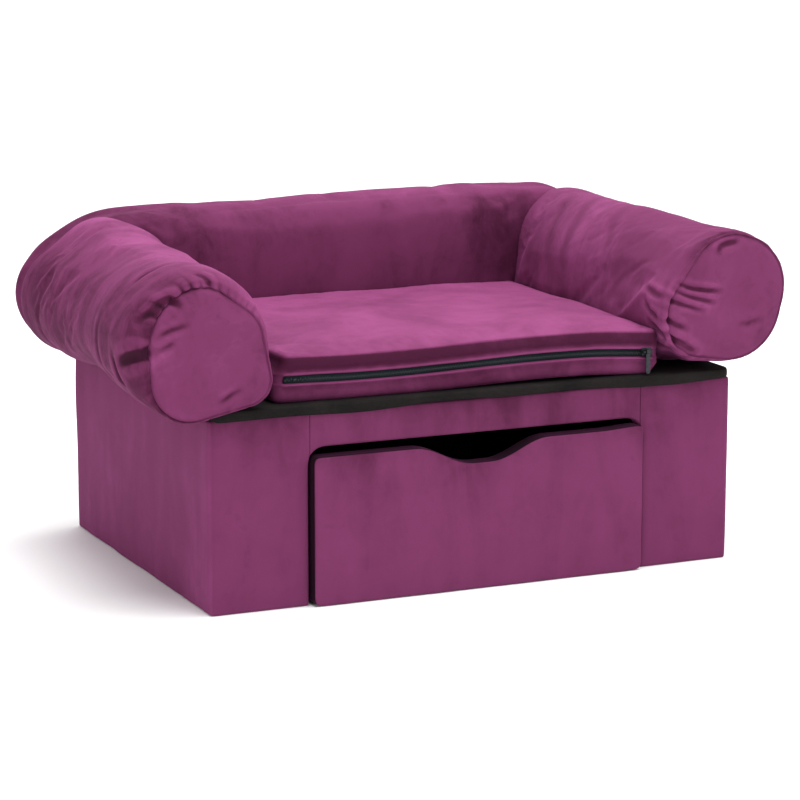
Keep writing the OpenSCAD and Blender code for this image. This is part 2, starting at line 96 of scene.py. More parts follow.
lights = {
    "top": {"at": (0.3, 0.1, 2.4), "size": 2.4, "power": 32},
    "front": {"at": (0.6, -3.2, 1.1), "size": 2.4, "power": 22},
    "right": {"at": (2.6, -1.2, 1.3), "size": 1.8, "power": 15},
    "left": {"at": (-2.6, -0.6, 0.5), "size": 2.0, "power": 20},
    "rear": {"at": (0.4, 2.6, 1.8), "size": 2.0, "power": 14},
}
lightsAim = (0, 0, 0.15)
sky = {"seen": 1.0, "lighting": 0.5, "sun": 2.35, "sunSpread": 50, "sunTilt": (10, 8)}


def addLight(name, light):
    lamp = bpy.data.lights.new(name, "AREA")
    lamp.shape, lamp.size, lamp.energy = "DISK", light["size"], light["power"]
    made = bpy.data.objects.new(name, lamp)
    made.location = light["at"]
    towards = np.array(lightsAim) - np.array(light["at"])
    flat = math.hypot(towards[0], towards[1])
    made.rotation_euler = (math.pi / 2 + math.atan2(towards[2], flat), 0, math.atan2(-towards[0], towards[1]))
    scene.collection.objects.link(made)


def addSun():
    daylight = bpy.data.lights.new("daylight", "SUN")
    daylight.energy, daylight.angle = sky["sun"], math.radians(sky["sunSpread"])
    overhead = bpy.data.objects.new("daylight", daylight)
    overhead.rotation_euler = (*np.radians(sky["sunTilt"]), 0)
    scene.collection.objects.link(overhead)


for lightName, light in lights.items():
    addLight(lightName, light)
addSun()
scene.view_settings.view_transform = "Standard"
scene.view_settings.look = "None"


# ---- shader maths

class Signal:
    # wraps a shader socket: arithmetic on it adds Math nodes, and node() adds any other node
    def __init__(self, tree, socket=None):
        self.tree, self.socket = tree, socket

    def node(self, kind, settings=None, sockets=None, out=0):
        made = self.tree.nodes.new(kind)
        for key, value in (settings or {}).items():
            setattr(made, key, value)
        for key, value in (sockets or {}).items():
            if isinstance(value, Signal):
                self.tree.links.new(value.socket, made.inputs[key])
            else:
                made.inputs[key].default_value = value
        return Signal(self.tree, made.outputs[out])

    def calc(self, operation, *values):
        return self.node("ShaderNodeMath", {"operation": operation}, dict(enumerate(values)))

    def __add__(self, other):
        return self.calc("ADD", self, other)

    def __sub__(self, other):
        return self.calc("SUBTRACT", self, other)

    def __rsub__(self, other):
        return self.calc("SUBTRACT", other, self)

    def __mul__(self, other):
        return self.calc("MULTIPLY", self, other)

    __radd__, __rmul__ = __add__, __mul__

    def between(self, low, high):
        # 0 below low, 1 above high, smooth in between
        return self.node("ShaderNodeMapRange", {"interpolation_type": "SMOOTHSTEP"},
                         {"Value": self, "From Min": low, "From Max": high})

    def mixColour(self, first, second):
        return self.node("ShaderNodeMix", {"data_type": "RGBA"}, {"Factor": self, "A": first, "B": second}, 2)


def whiteWorld():
    # the sky is pure white where the camera sees it and softer where it lights the object
    world = bpy.data.worlds.new("studio")
    world.use_nodes = True
    scene.world = world
    seen = Signal(world.node_tree).node("ShaderNodeLightPath")
    strength = seen * (sky["seen"] - sky["lighting"]) + sky["lighting"]
    backdrop = world.node_tree.nodes["Background"]
    backdrop.inputs["Color"].default_value = (1, 1, 1, 1)
    world.node_tree.links.new(strength.socket, backdrop.inputs["Strength"])


whiteWorld()


def newMaterial(name, shaderSockets):
    material = bpy.data.materials.new(name)
    material.use_nodes = True
    shader = material.node_tree.nodes["Principled BSDF"]
    for socket, value in shaderSockets.items():
        shader.inputs[socket].default_value = value
    return material, Signal(material.node_tree), shader


def feed(start, shader, sockets):
    for name, value in sockets.items():
        start.tree.links.new(value.socket, shader.inputs[name])


def placed(start, stretch=(1, 1, 1), shift=(0, 0, 0)):
    where = start.node("ShaderNodeTexCoord", out=3)
    return start.node("ShaderNodeMapping", None, {"Vector": where, "Scale": stretch, "Location": shift})


def noise(start, where, scale, detail=3, rough=0.55, twist=0):
    return start.node("ShaderNodeTexNoise", None, {"Vector": where, "Scale": scale, "Detail": detail,
                                                    "Roughness": rough, "Distortion": twist})


def bumpFrom(start, height, strength, distance, under=None):
    sockets = {"Height": height, "Strength": strength, "Distance": distance}
    if under:
        sockets["Normal"] = under
    return start.node("ShaderNodeBump", None, sockets)


def finish(start, shader, colour, rough, height, strength, distance):
    feed(start, shader, {"Base Color": colour, "Roughness": rough,
                         "Normal": bumpFrom(start, height, strength, distance)})


velvetLook = {
    "dark": (0.060, 0.010, 0.032, 1),
    "mid": (0.156, 0.032, 0.095, 1),
    "light": (0.268, 0.060, 0.174, 1),
    "unlit": (0.006, 0.003, 0.005, 1),
    "sheenTint": (1.0, 0.24, 0.70, 1),
    "sheen": 0.15,
    # how much the painted shading mark darkens the nap, and where it passes from dark to mid and from mid to
    # light
    "dimming": 0.16, "toMid": (0.34, 0.53), "toLight": (0.52, 0.72),
}


def velvet(name, stretch, shift, streaks, lift, patchy):
    # nap that lies in patches: broad clouds, streaks along the hanging direction and small dark blots,
    # over a fine pile; the piece's dim mark is painted shading: it darkens the colour as painted shade from 0 to
    # 1, on to black at 2, and lifts it below 0 as painted light
    material, start, shader = newMaterial(name, {
        "Sheen Weight": velvetLook["sheen"], "Sheen Roughness": 0.3, "Sheen Tint": velvetLook["sheenTint"],
        "Specular IOR Level": 0.04})
    where = placed(start, stretch, shift)
    even = placed(start, (1, 1, 1), shift)
    dim = start.node("ShaderNodeAttribute", {"attribute_name": "dim"}, None, 2)
    clouds = noise(start, even, 7.5, 4, 0.6, 0.7)
    drawn = noise(start, where, 15, 5, 0.62, 0.5)
    blots = noise(start, even, 38, 5, 0.66, 1.1)
    pile = noise(start, even, 1500, 2, 0.5)
    patches = clouds * (0.53 - 0.2 * streaks) + drawn * (0.25 + 0.2 * streaks) + blots * 0.22
    # painted shading: the dim mark darkens the nap as painted shade, and lightens it below 0 as painted light
    napShading = (patches - 0.5) * patchy + (0.51 + lift) - dim * velvetLook["dimming"]
    low = napShading.between(*velvetLook["toMid"])
    high = napShading.between(*velvetLook["toLight"])
    dots = blots.between(0.60, 0.72) * (0.4 * patchy)
    colour = high.mixColour(low.mixColour(velvetLook["dark"], velvetLook["mid"]), velvetLook["light"])
    colour = dots.mixColour(colour, velvetLook["dark"])
    # painted shade: from 1 to 2 the dim mark fades the colour to the unlit black
    colour = dim.between(1.0, 2.0).mixColour(colour, velvetLook["unlit"])
    rough = 0.78 + (pile - 0.5) * 0.15
    wavy = bumpFrom(start, napShading, 0.2, 0.004)
    normal = bumpFrom(start, pile, 0.3, 0.0006, wavy)
    feed(start, shader, {"Base Color": colour, "Roughness": rough, "Normal": normal})
    return material


def cloth(name, dark, light, scale):
    # pressed fibres: fine noise drawn out two ways, with soft paler rubs
    material, start, shader = newMaterial(name, {"Sheen Roughness": 0.5, "Specular IOR Level": 0.1})
    fibres = noise(start, placed(start, (1, 0.2, 1)), scale) * 0.5
    fibres = fibres + noise(start, placed(start, (0.2, 1, 1)), scale) * 0.5
    rubs = noise(start, placed(start), 14, 4, 0.6, 0.6)
    colour = (fibres * 0.5 + rubs * 0.5).between(0.35, 0.68).mixColour(dark, light)
    finish(start, shader, colour, 0.7 + rubs * 0.25, fibres, 0.4, 0.0005)
    return material


def board(name, dark, light, along=(1, 14, 14)):
    # grain: rings stretched along one direction, broken by noise
    material, start, shader = newMaterial(name, {"Specular IOR Level": 0.3})
    grain = noise(start, placed(start, along), 9, 6, 0.62, 0.8)
    flecks = noise(start, placed(start, along), 90, 3, 0.5)
    mixed = grain * 0.7 + flecks * 0.3
    colour = mixed.between(0.34, 0.66).mixColour(dark, light)
    finish(start, shader, colour, 0.5 + flecks * 0.3, mixed, 0.25, 0.0006)
    return material


def foamLook(name, dark, light, scale=420):
    material, start, shader = newMaterial(name, {"Specular IOR Level": 0.1})
    cells = start.node("ShaderNodeTexVoronoi", None, {"Vector": placed(start), "Scale": scale})
    colour = cells.between(0.1, 0.7).mixColour(dark, light)
    finish(start, shader, colour, 0.85 + cells * 0.1, cells, 0.5, 0.0008)
    return material


def metal(name, dark, light, metallic, rough, scale=220):
    material, start, shader = newMaterial(name, {"Metallic": metallic})
    worn = noise(start, placed(start, (1, 1, 6)), scale, 4)
    colour = worn.between(0.35, 0.7).mixColour(dark, light)
    finish(start, shader, colour, rough + worn * 0.2, worn, 0.12, 0.0002)
    return material


print("materials")
velvetArms = {"left": velvet("velvet arm left", (0.35, 1.7, 0.35), (3.1, 0.4, 1.2), 0.6, 0.0, 0.85),
              "right": velvet("velvet arm right", (0.35, 1.7, 0.35), (7.7, 2.4, 5.2), 0.5, 0.0, 0.75)}
velvetBase = velvet("velvet base", (1.5, 1.5, 0.35), (1.3, 5.4, 2.2), 0.9, -0.005, 0.38)
velvetDrawer = velvet("velvet drawer", (1.5, 1.5, 0.35), (9.3, 1.4, 4.2), 0.9, -0.005, 0.42)
velvetBack = velvet("velvet backrest", (1.5, 1.5, 0.4), (4.3, 8.4, 0.2), 0.7, -0.015, 0.6)
velvetCushion = velvet("velvet cushion", (1, 1, 1), (0.3, 3.4, 7.2), 0.3, 0.03, 0.5)
wrapBlack = cloth("black cloth", (0.005, 0.004, 0.004, 1), (0.015, 0.012, 0.012, 1), 900)
tapeBlack = cloth("zip tape", (0.003, 0.005, 0.006, 1), (0.009, 0.015, 0.019, 1), 1600)
zipBlack = metal("zip teeth", (0.006, 0.009, 0.011, 1), (0.018, 0.024, 0.028, 1), 0.3, 0.4)

nodeMaterials = {
    "bare_wood": board("bare board", (0.42, 0.27, 0.13, 1), (0.66, 0.48, 0.29, 1)),
    "black_board": board("black board", (0.006, 0.006, 0.006, 1), (0.016, 0.016, 0.017, 1)),
    "velvet": velvetBase,
    "black_cloth": wrapBlack,
    "foam": foamLook("foam", (0.70, 0.62, 0.42, 1), (0.88, 0.82, 0.64, 1)),
    "fibre_fill": foamLook("fibre", (0.74, 0.74, 0.72, 1), (0.90, 0.90, 0.88, 1), 160),
    "zip_tape": tapeBlack,
    "zip_coil": zipBlack,
    "zip_metal": metal("zip metal", (0.016, 0.018, 0.022, 1), (0.045, 0.048, 0.055, 1), 0.7, 0.34),
    "screw_steel": metal("screw zinc", (0.46, 0.46, 0.48, 1), (0.72, 0.72, 0.74, 1), 1.0, 0.28),
    "nylon": metal("nylon", (0.70, 0.67, 0.60, 1), (0.84, 0.82, 0.76, 1), 0.0, 0.45, 90),
}
for part in frame["record"]["subparts"]:
    cadNode = frame["nodes"][part["node"]]
    cadNode.data.materials.clear()
    cadNode.data.materials.append(nodeMaterials[part["material_slot"]])


# ---- surface tools

def smooth(value, low, high):
    # eases from 0 at low to 1 at high
    share = np.clip((value - low) / (high - low), 0, 1)
    return share * share * (3 - 2 * share)


def hill(value, width):
    # 1 at 0, falling off on both sides: e to the minus square of value over width
    return np.exp(-(value / width) ** 2)


def ripple(points, wavelength, seed, count=14, stretch=(1, 1, 1)):
    # sum of sine waves of one wavelength in seeded directions, about -1 to 1
    rng = np.random.default_rng(seed)
    ways = rng.normal(size=(count, 3))
    ways /= np.linalg.norm(ways, axis=1, keepdims=True)
    ways *= rng.uniform(0.7, 1.4, (count, 1)) * 2 * np.pi / wavelength
    phase = rng.uniform(0, 2 * np.pi, count)
    return np.sin(points * np.array(stretch) @ ways.T + phase).sum(-1) / math.sqrt(count) / 1.2


def unevenness(points, *waves):
    # sum of ripples, each (wavelength in mm, seed, number of waves, height in mm) and how it is stretched
    return sum(ripple(points, wavelength * mm, seed, count, *stretch) * height * mm
               for wavelength, seed, count, height, *stretch in waves)


def evenly(line, count):
    # count points at even steps along an open line
    steps = np.linalg.norm(np.diff(line, axis=0), axis=1)
    along = np.concatenate([[0], np.cumsum(steps)])
    want = np.linspace(0, along[-1], count)
    return np.stack([np.interp(want, along, line[:, k]) for k in range(line.shape[1])], -1)


def closed(loop):
    return np.vstack([loop, loop[:1]])


def tangentAngle(one, other):
    # outward normal of the belt's straight part from one circle to the next, in degrees
    dx, dz = other[0] - one[0], other[1] - one[1]
    return math.degrees(math.atan2(dz, dx) - math.acos((one[2] - other[2]) / math.hypot(dx, dz)))


def bandAround(circles, step=2):
    # belt round circles (x, z, radius) listed anticlockwise: each gives an arc between its two belt tangents
    circles = np.array(circles, float)
    points = []
    for before, here, after in zip(np.roll(circles, 1, 0), circles, np.roll(circles, -1, 0)):
        start, end = tangentAngle(before, here), tangentAngle(here, after)
        turn = (end - start) % 360
        angles = np.radians(start + np.linspace(0, turn, max(2, int(turn / step) + 1)))
        points.append(here[:2] + here[2] * np.stack([np.cos(angles), np.sin(angles)], -1))
    return np.concatenate(points)


def rounding(radius, count, start=0):
    # a quarter circle from its steep end: pairs of radius times (1 - sine) and radius times (1 - cosine)
    bends = np.linspace(start, 1, count) * quarterTurn
    return [(radius * (1 - math.sin(b)), radius * (1 - math.cos(b))) for b in bends]


def gridQuads(rows, columns, wrap=False, first=0):
    i, j = np.meshgrid(np.arange(rows - 1), np.arange(columns if wrap else columns - 1), indexing="ij")
    k = (j + 1) % columns
    quads = np.stack([i * columns + j, i * columns + k, (i + 1) * columns + k, (i + 1) * columns + j], -1)
    return quads.reshape(-1, 4) + first


def makePiece(name, points, faces, material, body):
    # a smooth piece with its place in its mesh, its faces turned outwards
    mesh = bpy.data.meshes.new(name)
    mesh.from_pydata(points.tolist(), [], [list(map(int, f)) for f in faces])
    made = bpy.data.objects.new(name, mesh)
    scene.collection.objects.link(made)
    work = bmesh.new()
    work.from_mesh(mesh)
    bmesh.ops.recalc_face_normals(work, faces=work.faces)
    work.to_mesh(mesh)
    work.free()
    mesh.shade_smooth()
    mesh.materials.append(material)
    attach(made, body)
    return made


def getPoints(piece):
    flat = np.zeros(len(piece.data.vertices) * 3)
    piece.data.vertices.foreach_get("co", flat)
    return flat.reshape(-1, 3)


def getNormals(piece):
    flat = np.zeros(len(piece.data.vertices) * 3, np.float32)
    piece.data.vertex_normals.foreach_get("vector", flat)
    return flat.reshape(-1, 3).astype(float)


def setPoints(piece, points):
    piece.data.vertices.foreach_set("co", points.astype(np.float32).ravel())
    piece.data.update()


def mark(piece, name, values):
    piece.data.attributes.new(name, "FLOAT", "POINT").data.foreach_set("value", values.astype(np.float32))


def getMark(piece, name):
    flat = np.zeros(len(piece.data.vertices), np.float32)
    piece.data.attributes[name].data.foreach_get("value", flat)
    return flat.astype(float)


stuffing = {"frames": 20, "quality": 5, "mass": 0.25, "stretch": 14, "shear": 4, "bending": 0.35}


def stuff(piece, pinned, pressure, slack, cap):
    # inflates a piece as cloth, gravity off; pinned is 0 where the cloth is free and 1 where a seam or board
    # holds it, slack is how much more cloth there is than shape, and no point moves further than cap
    before = getPoints(piece)
    group = piece.vertex_groups.new(name="held")
    pinned = np.round(pinned, 2)
    for weight in np.unique(pinned[pinned > 0]):
        group.add(np.nonzero(pinned == weight)[0].tolist(), float(weight), "REPLACE")
    cloth = piece.modifiers.new("cloth", "CLOTH")
    settings = cloth.settings
    settings.quality = stuffing["quality"]
    settings.mass = stuffing["mass"]
    settings.tension_stiffness = settings.compression_stiffness = stuffing["stretch"]
    settings.shear_stiffness = stuffing["shear"]
    settings.bending_stiffness = stuffing["bending"]
    settings.use_pressure = True
    settings.uniform_pressure_force = pressure
    settings.shrink_min = -slack
    settings.vertex_group_mass = "held"
    settings.effector_weights.gravity = 0
    cloth.point_cache.frame_start, cloth.point_cache.frame_end = 1, stuffing["frames"]
    for number in range(1, stuffing["frames"] + 1):
        scene.frame_set(number)
    settled = piece.evaluated_get(bpy.context.evaluated_depsgraph_get())
    after = np.zeros(len(before) * 3)
    settled.data.vertices.foreach_get("co", after)
    move = after.reshape(-1, 3) - before
    size = np.linalg.norm(move, axis=1, keepdims=True)
    piece.modifiers.remove(cloth)
    piece.vertex_groups.remove(group)
    setPoints(piece, before + move * np.minimum(1, cap / np.maximum(size, 1e-9)))
    scene.frame_set(1)
    print("stuffed", piece.name, "moved up to", round(float(size.max() / mm), 1), "mm")


def subdivide(piece):
    finer = piece.modifiers.new("finer", "SUBSURF")
    finer.levels = finer.render_levels = 1


def refine(piece):
    # bakes one smooth subdivision into the mesh, so that wrinkles can be set into the finer surface
    subdivide(piece)
    finer = bpy.data.meshes.new_from_object(piece.evaluated_get(bpy.context.evaluated_depsgraph_get()))
    piece.modifiers.clear()
    piece.data = finer
    finer.name = piece.name
    finer.shade_smooth()


def crease(points, path, depth, width):
    # a valley along a line through the given points, with a low ridge on both sides, dying out at its ends
    path = evenly(np.array(path) * mm, 9)
    path = points[[int(((points - p) ** 2).sum(1).argmin()) for p in path]]
    path[1:-1] = (path[:-2] + path[1:-1] * 2 + path[2:]) / 4
    length = np.maximum(np.linalg.norm(np.diff(path, axis=0), axis=1), 0.01 * mm)
    reach = np.concatenate([[0], np.cumsum(length)])
    best, share = np.full(len(points), 1e9), np.zeros(len(points))
    for k, (one, other) in enumerate(zip(path[:-1], path[1:])):
        t = np.clip((points - one) @ (other - one) / length[k] ** 2, 0, 1)
        gap = np.linalg.norm(points - one - t[:, None] * (other - one), axis=1)
        share = np.where(gap < best, (reach[k] + t * length[k]) / reach[-1], share)
        best = np.minimum(best, gap)
    fade = np.sin(np.pi * np.clip(share * 0.94 + 0.03, 0, 1)) ** 0.6
    return (0.45 * hill(best - 1.9 * width, 1.1 * width) - hill(best, width)) * depth * fade


# ---- arms

arms = {
    "foot": (48, 48, 48),            # mm: x from the inner side, z from the bottom, radius
    "belly": (62, 62, 62),           # mm: x from the outer side, z from the bottom, radius
    "around": 200,                   # points round the roll
    "rowStep": 4.6 * mm,
    "shoulderStart": -184 * mm,      # y where the roll starts to close
    "seamAt": -223 * mm,             # y of the cap's seam
    "seatEdge": 304 * mm,            # the roll keeps a flat foot nearer the middle than this
    "groove": 4 * mm,                # depth of the cap's seam where the roll is gathered
}
# in mm and degrees. crown, at the rear: x from the inner side, z down from the top, radius;
# runOn: how far the roll runs beside the backrest; waist, where its middle is slimmer: degrees, spread, depth;
# cap: circles (x, z, radius) the seam is stretched round, from the inner foot anticlockwise;
# fullness: how far the roll stands outside the seam, and lobes, where it is fuller: degrees, spread, extra;
# painted shade and painted light by direction round the roll: degrees, spread, dim on the body, dim near the
# seam;
# seamDark: painted shade along the seam's groove; creases: path, depth, width
armEnds = {
    "left": {
        "crown": (63.5, 55, 50), "runOn": 60, "seamDark": 0.5, "waist": (122, 50, 5),
        "cap": ((264, 244, 25), (323, 250, 43), (309, 282, 59), (313, 298, 44), (285, 285, 38)),
        "fullness": 4, "lobes": ((15, 60, 13), (114, 40, 14)),
        "folds": 40, "foldDepth": 3.9, "gatherAt": (52, 58), "calm": 0.16, "seed": 3,
        "napShading": ((8, 48, 0.7, 1.15), (-55, 30, 0.3, 0.9), (105, 42, -0.85, -0.2), (150, 25, -0.3, -0.5)),
        "creases": (
            (((-371, -221, 329), (-352, -226, 333), (-338, -226, 329)), 2.6, 4.5),
            (((-376, -215, 316), (-354, -226, 322)), 2.4, 4.2),
            (((-388, -192, 268), (-378, -208, 276), (-366, -222, 281)), 3.6, 6.0),
            (((-392, -168, 270), (-390, -172, 252), (-381, -180, 234)), 2.4, 6.0),
            (((-312, -210, 352), (-302, -224, 344)), 2.6, 4.0),
            (((-360, -226, 295), (-348, -227, 302), (-330, -228, 306)), 1.3, 3.2),
            (((-361, -226, 281), (-343, -227, 290)), 1.2, 3.2),
            (((-297, -226, 224), (-274, -226, 238)), 1.0, 3.4),
            (((-357, -150, 335), (-341, -150, 356), (-326, -156, 366)), 1.1, 4.5),
            (((-372, -120, 300), (-368, -110, 270), (-356, -112, 240)), 1.0, 6.0),
        ),
    },
    "right": {
        "crown": (71.5, 68, 68), "runOn": 40, "seamDark": 0.25, "waist": (90, 60, 0),
        "cap": ((263, 275, 45), (298, 284, 59), (303, 300, 58), (297, 307, 53)),
        "fullness": 1, "lobes": ((190, 50, 9), (70, 38, 4)),
        "folds": 36, "foldDepth": 2.3, "gatherAt": (212, 40), "calm": 0.08, "seed": 8,
        "napShading": ((185, 50, -0.8, -0.2), (95, 40, -0.25, 0.8), (232, 25, 0.1, 0.7)),
        "creases": (
            (((229, -225, 312), (246, -228, 305), (280, -229, 301)), 2.2, 3.0),
            (((226, -222, 304), (243, -228, 297), (270, -229, 290)), 2.2, 3.0),
            (((224, -215, 292), (238, -226, 288), (258, -229, 282)), 1.6, 2.8),
            (((276, -226, 342), (279, -226, 349), (301, -224, 354)), 2.2, 3.4),
            (((222, -186, 286), (222, -206, 278), (228, -222, 268), (238, -227, 262)), 2.8, 3.6),
            (((220, -192, 270), (224, -212, 260), (236, -224, 246), (250, -226, 236)), 3.6, 4.2),
            (((224, -176, 250), (230, -198, 242), (243, -214, 230)), 2.6, 4.0),
            (((221, -176, 300), (224, -202, 293), (234, -220, 288)), 1.8, 3.6),
            (((222, 60, 300), (240, 78, 345), (270, 100, 366)), 0.7, 7.0),
            (((224, 20, 290), (243, 30, 340), (280, 55, 366)), 0.6, 7.5),
            (((228, -60, 330), (246, -40, 352), (280, -20, 366)), 0.6, 7.0),
            (((300, -226, 262), (330, -226, 268)), 0.8, 4.0),
        ),
    },
}


def reachOf(loop, centre, angles):
    # distance from the centre to a closed loop at each angle
    away = evenly(closed(loop), 600) - centre
    turn = np.arctan2(away[:, 1], away[:, 0])
    order = np.argsort(turn)
    return np.interp(angles, turn[order], np.linalg.norm(away, axis=1)[order], period=2 * np.pi)


def sector(angles, at, spread):
    # 1 at one direction, falling off with the angle from it, in degrees
    return hill(np.abs((np.degrees(angles) - at + 180) % 360 - 180), spread)


def gatherShare(angles, end):
    # how strongly the roll is gathered at each angle
    return end["calm"] + (1 - end["calm"]) * sector(angles, *end["gatherAt"])


def armRows(end, angles, rear, rearReach, capReach):
    # rows of (y, share of the front outline, reach per angle), from inside the backrest to the cap's middle:
    # the roll's reach blends along y from one outline to the other and closes in a quarter turn
    start, seam = arms["shoulderStart"], arms["seamAt"]
    extra = (end["fullness"] + sum(more * sector(angles, at, spread) for at, spread, more in end["lobes"])) * mm
    at, spread, depth = end["waist"]
    slimmer = depth * mm * sector(angles, at, spread)
    rows = [(rear, 0, rearReach * keep) for keep in (0.3, 0.6, 0.85)] + [(rear - 1 * mm, 0, rearReach * 0.96)]
    for y in np.linspace(rear - 4 * mm, start, int((rear - start) / arms["rowStep"])):
        share = smooth(-y, -10 * mm, -start)
        taper = 8 * mm * smooth(y, rear - 50 * mm, rear) ** 2
        taper = taper + slimmer * smooth(-y, -130 * mm, -20 * mm) * smooth(y, -165 * mm, -90 * mm)
        rows.append((y, share, rearReach * (1 - share) + (capReach + extra) * share - taper))
    for b in np.linspace(0, 1, 13)[1:] * quarterTurn:
        swell = extra * math.cos(b) + 1.2 * mm * math.sin(b) ** 8
        rows.append((start - (start - seam) * math.sin(b), 1, capReach + swell))
    # the seam's groove is deep where the roll is gathered and shallow elsewhere
    groove = (0.35 + 0.65 * gatherShare(angles, end)) * arms["groove"]
    for down, keep in ((0.55, 0.6), (1.0, -0.3), (0.4, -1.7)):
        rows.append((seam + down * groove, 1, capReach + keep * mm))
    rows += [(seam - 0.8 * mm, 1, capReach - 4.2 * mm), (seam - 1.7 * mm, 1, capReach - 8 * mm)]
    seamRow = len(rows) - 4
    for keep in np.linspace(1, 0.035, 19)[1:]:
        rows.append((seam - 1.9 * mm - 3 * mm * (1 - keep ** 2), 1, (capReach - 8 * mm) * keep))
    y = np.array([row[0] + 0 * angles for row in rows])
    return y, np.array([row[1] for row in rows], float)[:, None], np.array([row[2] for row in rows]), seamRow


def buildArm(side):
    # each row is a closed outline round a middle that moves from the rear outline's to the cap's
    sign = 1 if side == "right" else -1
    end = armEnds[side]
    low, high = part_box("arm_cover_" + side)
    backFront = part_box("backrest_cover")[0].y
    inner, outer = (low.x, high.x) if sign > 0 else (-high.x, -low.x)
    footX, footZ, footR = np.array(arms["foot"]) * mm
    bellyX, bellyZ, bellyR = np.array(arms["belly"]) * mm
    crownX, crownZ, crownR = np.array(end["crown"]) * mm
    rearLoop = bandAround([(inner + footX, low.z + footZ, footR), (outer - bellyX, low.z + bellyZ, bellyR),
                           (inner + crownX, high.z - crownZ, crownR)])
    rearMiddle = np.array([(inner + outer) / 2, (low.z + high.z) / 2 - 3 * mm])
    capLoop = bandAround(np.array(end["cap"]) * mm)
    capMiddle = (capLoop.min(0) + capLoop.max(0)) / 2
    angles = np.linspace(0, 2 * np.pi, arms["around"], endpoint=False)
    rearReach, capReach = reachOf(rearLoop, rearMiddle, angles), reachOf(capLoop, capMiddle, angles)
    y, share, reach, seamRow = armRows(end, angles, backFront + end["runOn"] * mm, rearReach, capReach)
    x = rearMiddle[0] + (capMiddle[0] - rearMiddle[0]) * share + reach * np.cos(angles)
    z = rearMiddle[1] + (capMiddle[1] - rearMiddle[1]) * share + reach * np.sin(angles)
    # over the seat the roll keeps a flat foot, and lifts off it only close to the cap
    onSeat = (x < arms["seatEdge"]) * (1 - smooth(-y, 205 * mm, 216 * mm))
    z = np.where(onSeat > 0, np.maximum(z, low.z - 1 * mm * (1 - onSeat)), z)
    sole = (x < arms["seatEdge"] + 2 * mm) * (np.sin(angles) < -0.75) * smooth(y, -178 * mm, -150 * mm)
    z = z - sole * np.clip(z - low.z, 0, 12 * mm) * 0.92
    points = np.stack([x * sign, y, z], -1)
    rowCount, count = x.shape
    flat = np.concatenate([points.reshape(-1, 3), points[[0, -1]].mean(1)])
    faces = gridQuads(rowCount, count, True).tolist()
    for pole, ring in enumerate((np.arange(count), (rowCount - 1) * count + np.arange(count))):
        faces += np.stack([ring, np.roll(ring, -1), np.full(count, rowCount * count + pole)], -1).tolist()
    path = np.linalg.norm(np.diff(np.stack([reach.mean(1), y.mean(1)], -1), axis=0), axis=1)
    path = np.concatenate([[0], np.cumsum(path)])
    fromSeam = np.append(np.repeat(path - path[seamRow], count), [-0.5, 0.07])
    piece = makePiece("arm_" + side, flat, faces, velvetArms[side], "base")
    mark(piece, "fromSeam", fromSeam)
    resting = smooth(-(flat[:, 2] - low.z), -5 * mm, -1 * mm) * (np.abs(flat[:, 0]) < 0.303)
    inBack = smooth(flat[:, 1], backFront - 15 * mm, backFront)
    sewn = 1 - smooth(np.abs(fromSeam), 1 * mm, 6 * mm)
    stuff(piece, np.maximum.reduce([sewn, resting, inBack]), 3.2, 0.012, 4 * mm)
    refine(piece)
    creaseArm(piece, end, low, sign, rearMiddle, capMiddle)
    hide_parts("arm_cover_" + side, "arm_fill_" + side, "arm_cap_" + side, "arm_batten_" + side)
    print("arm", side)


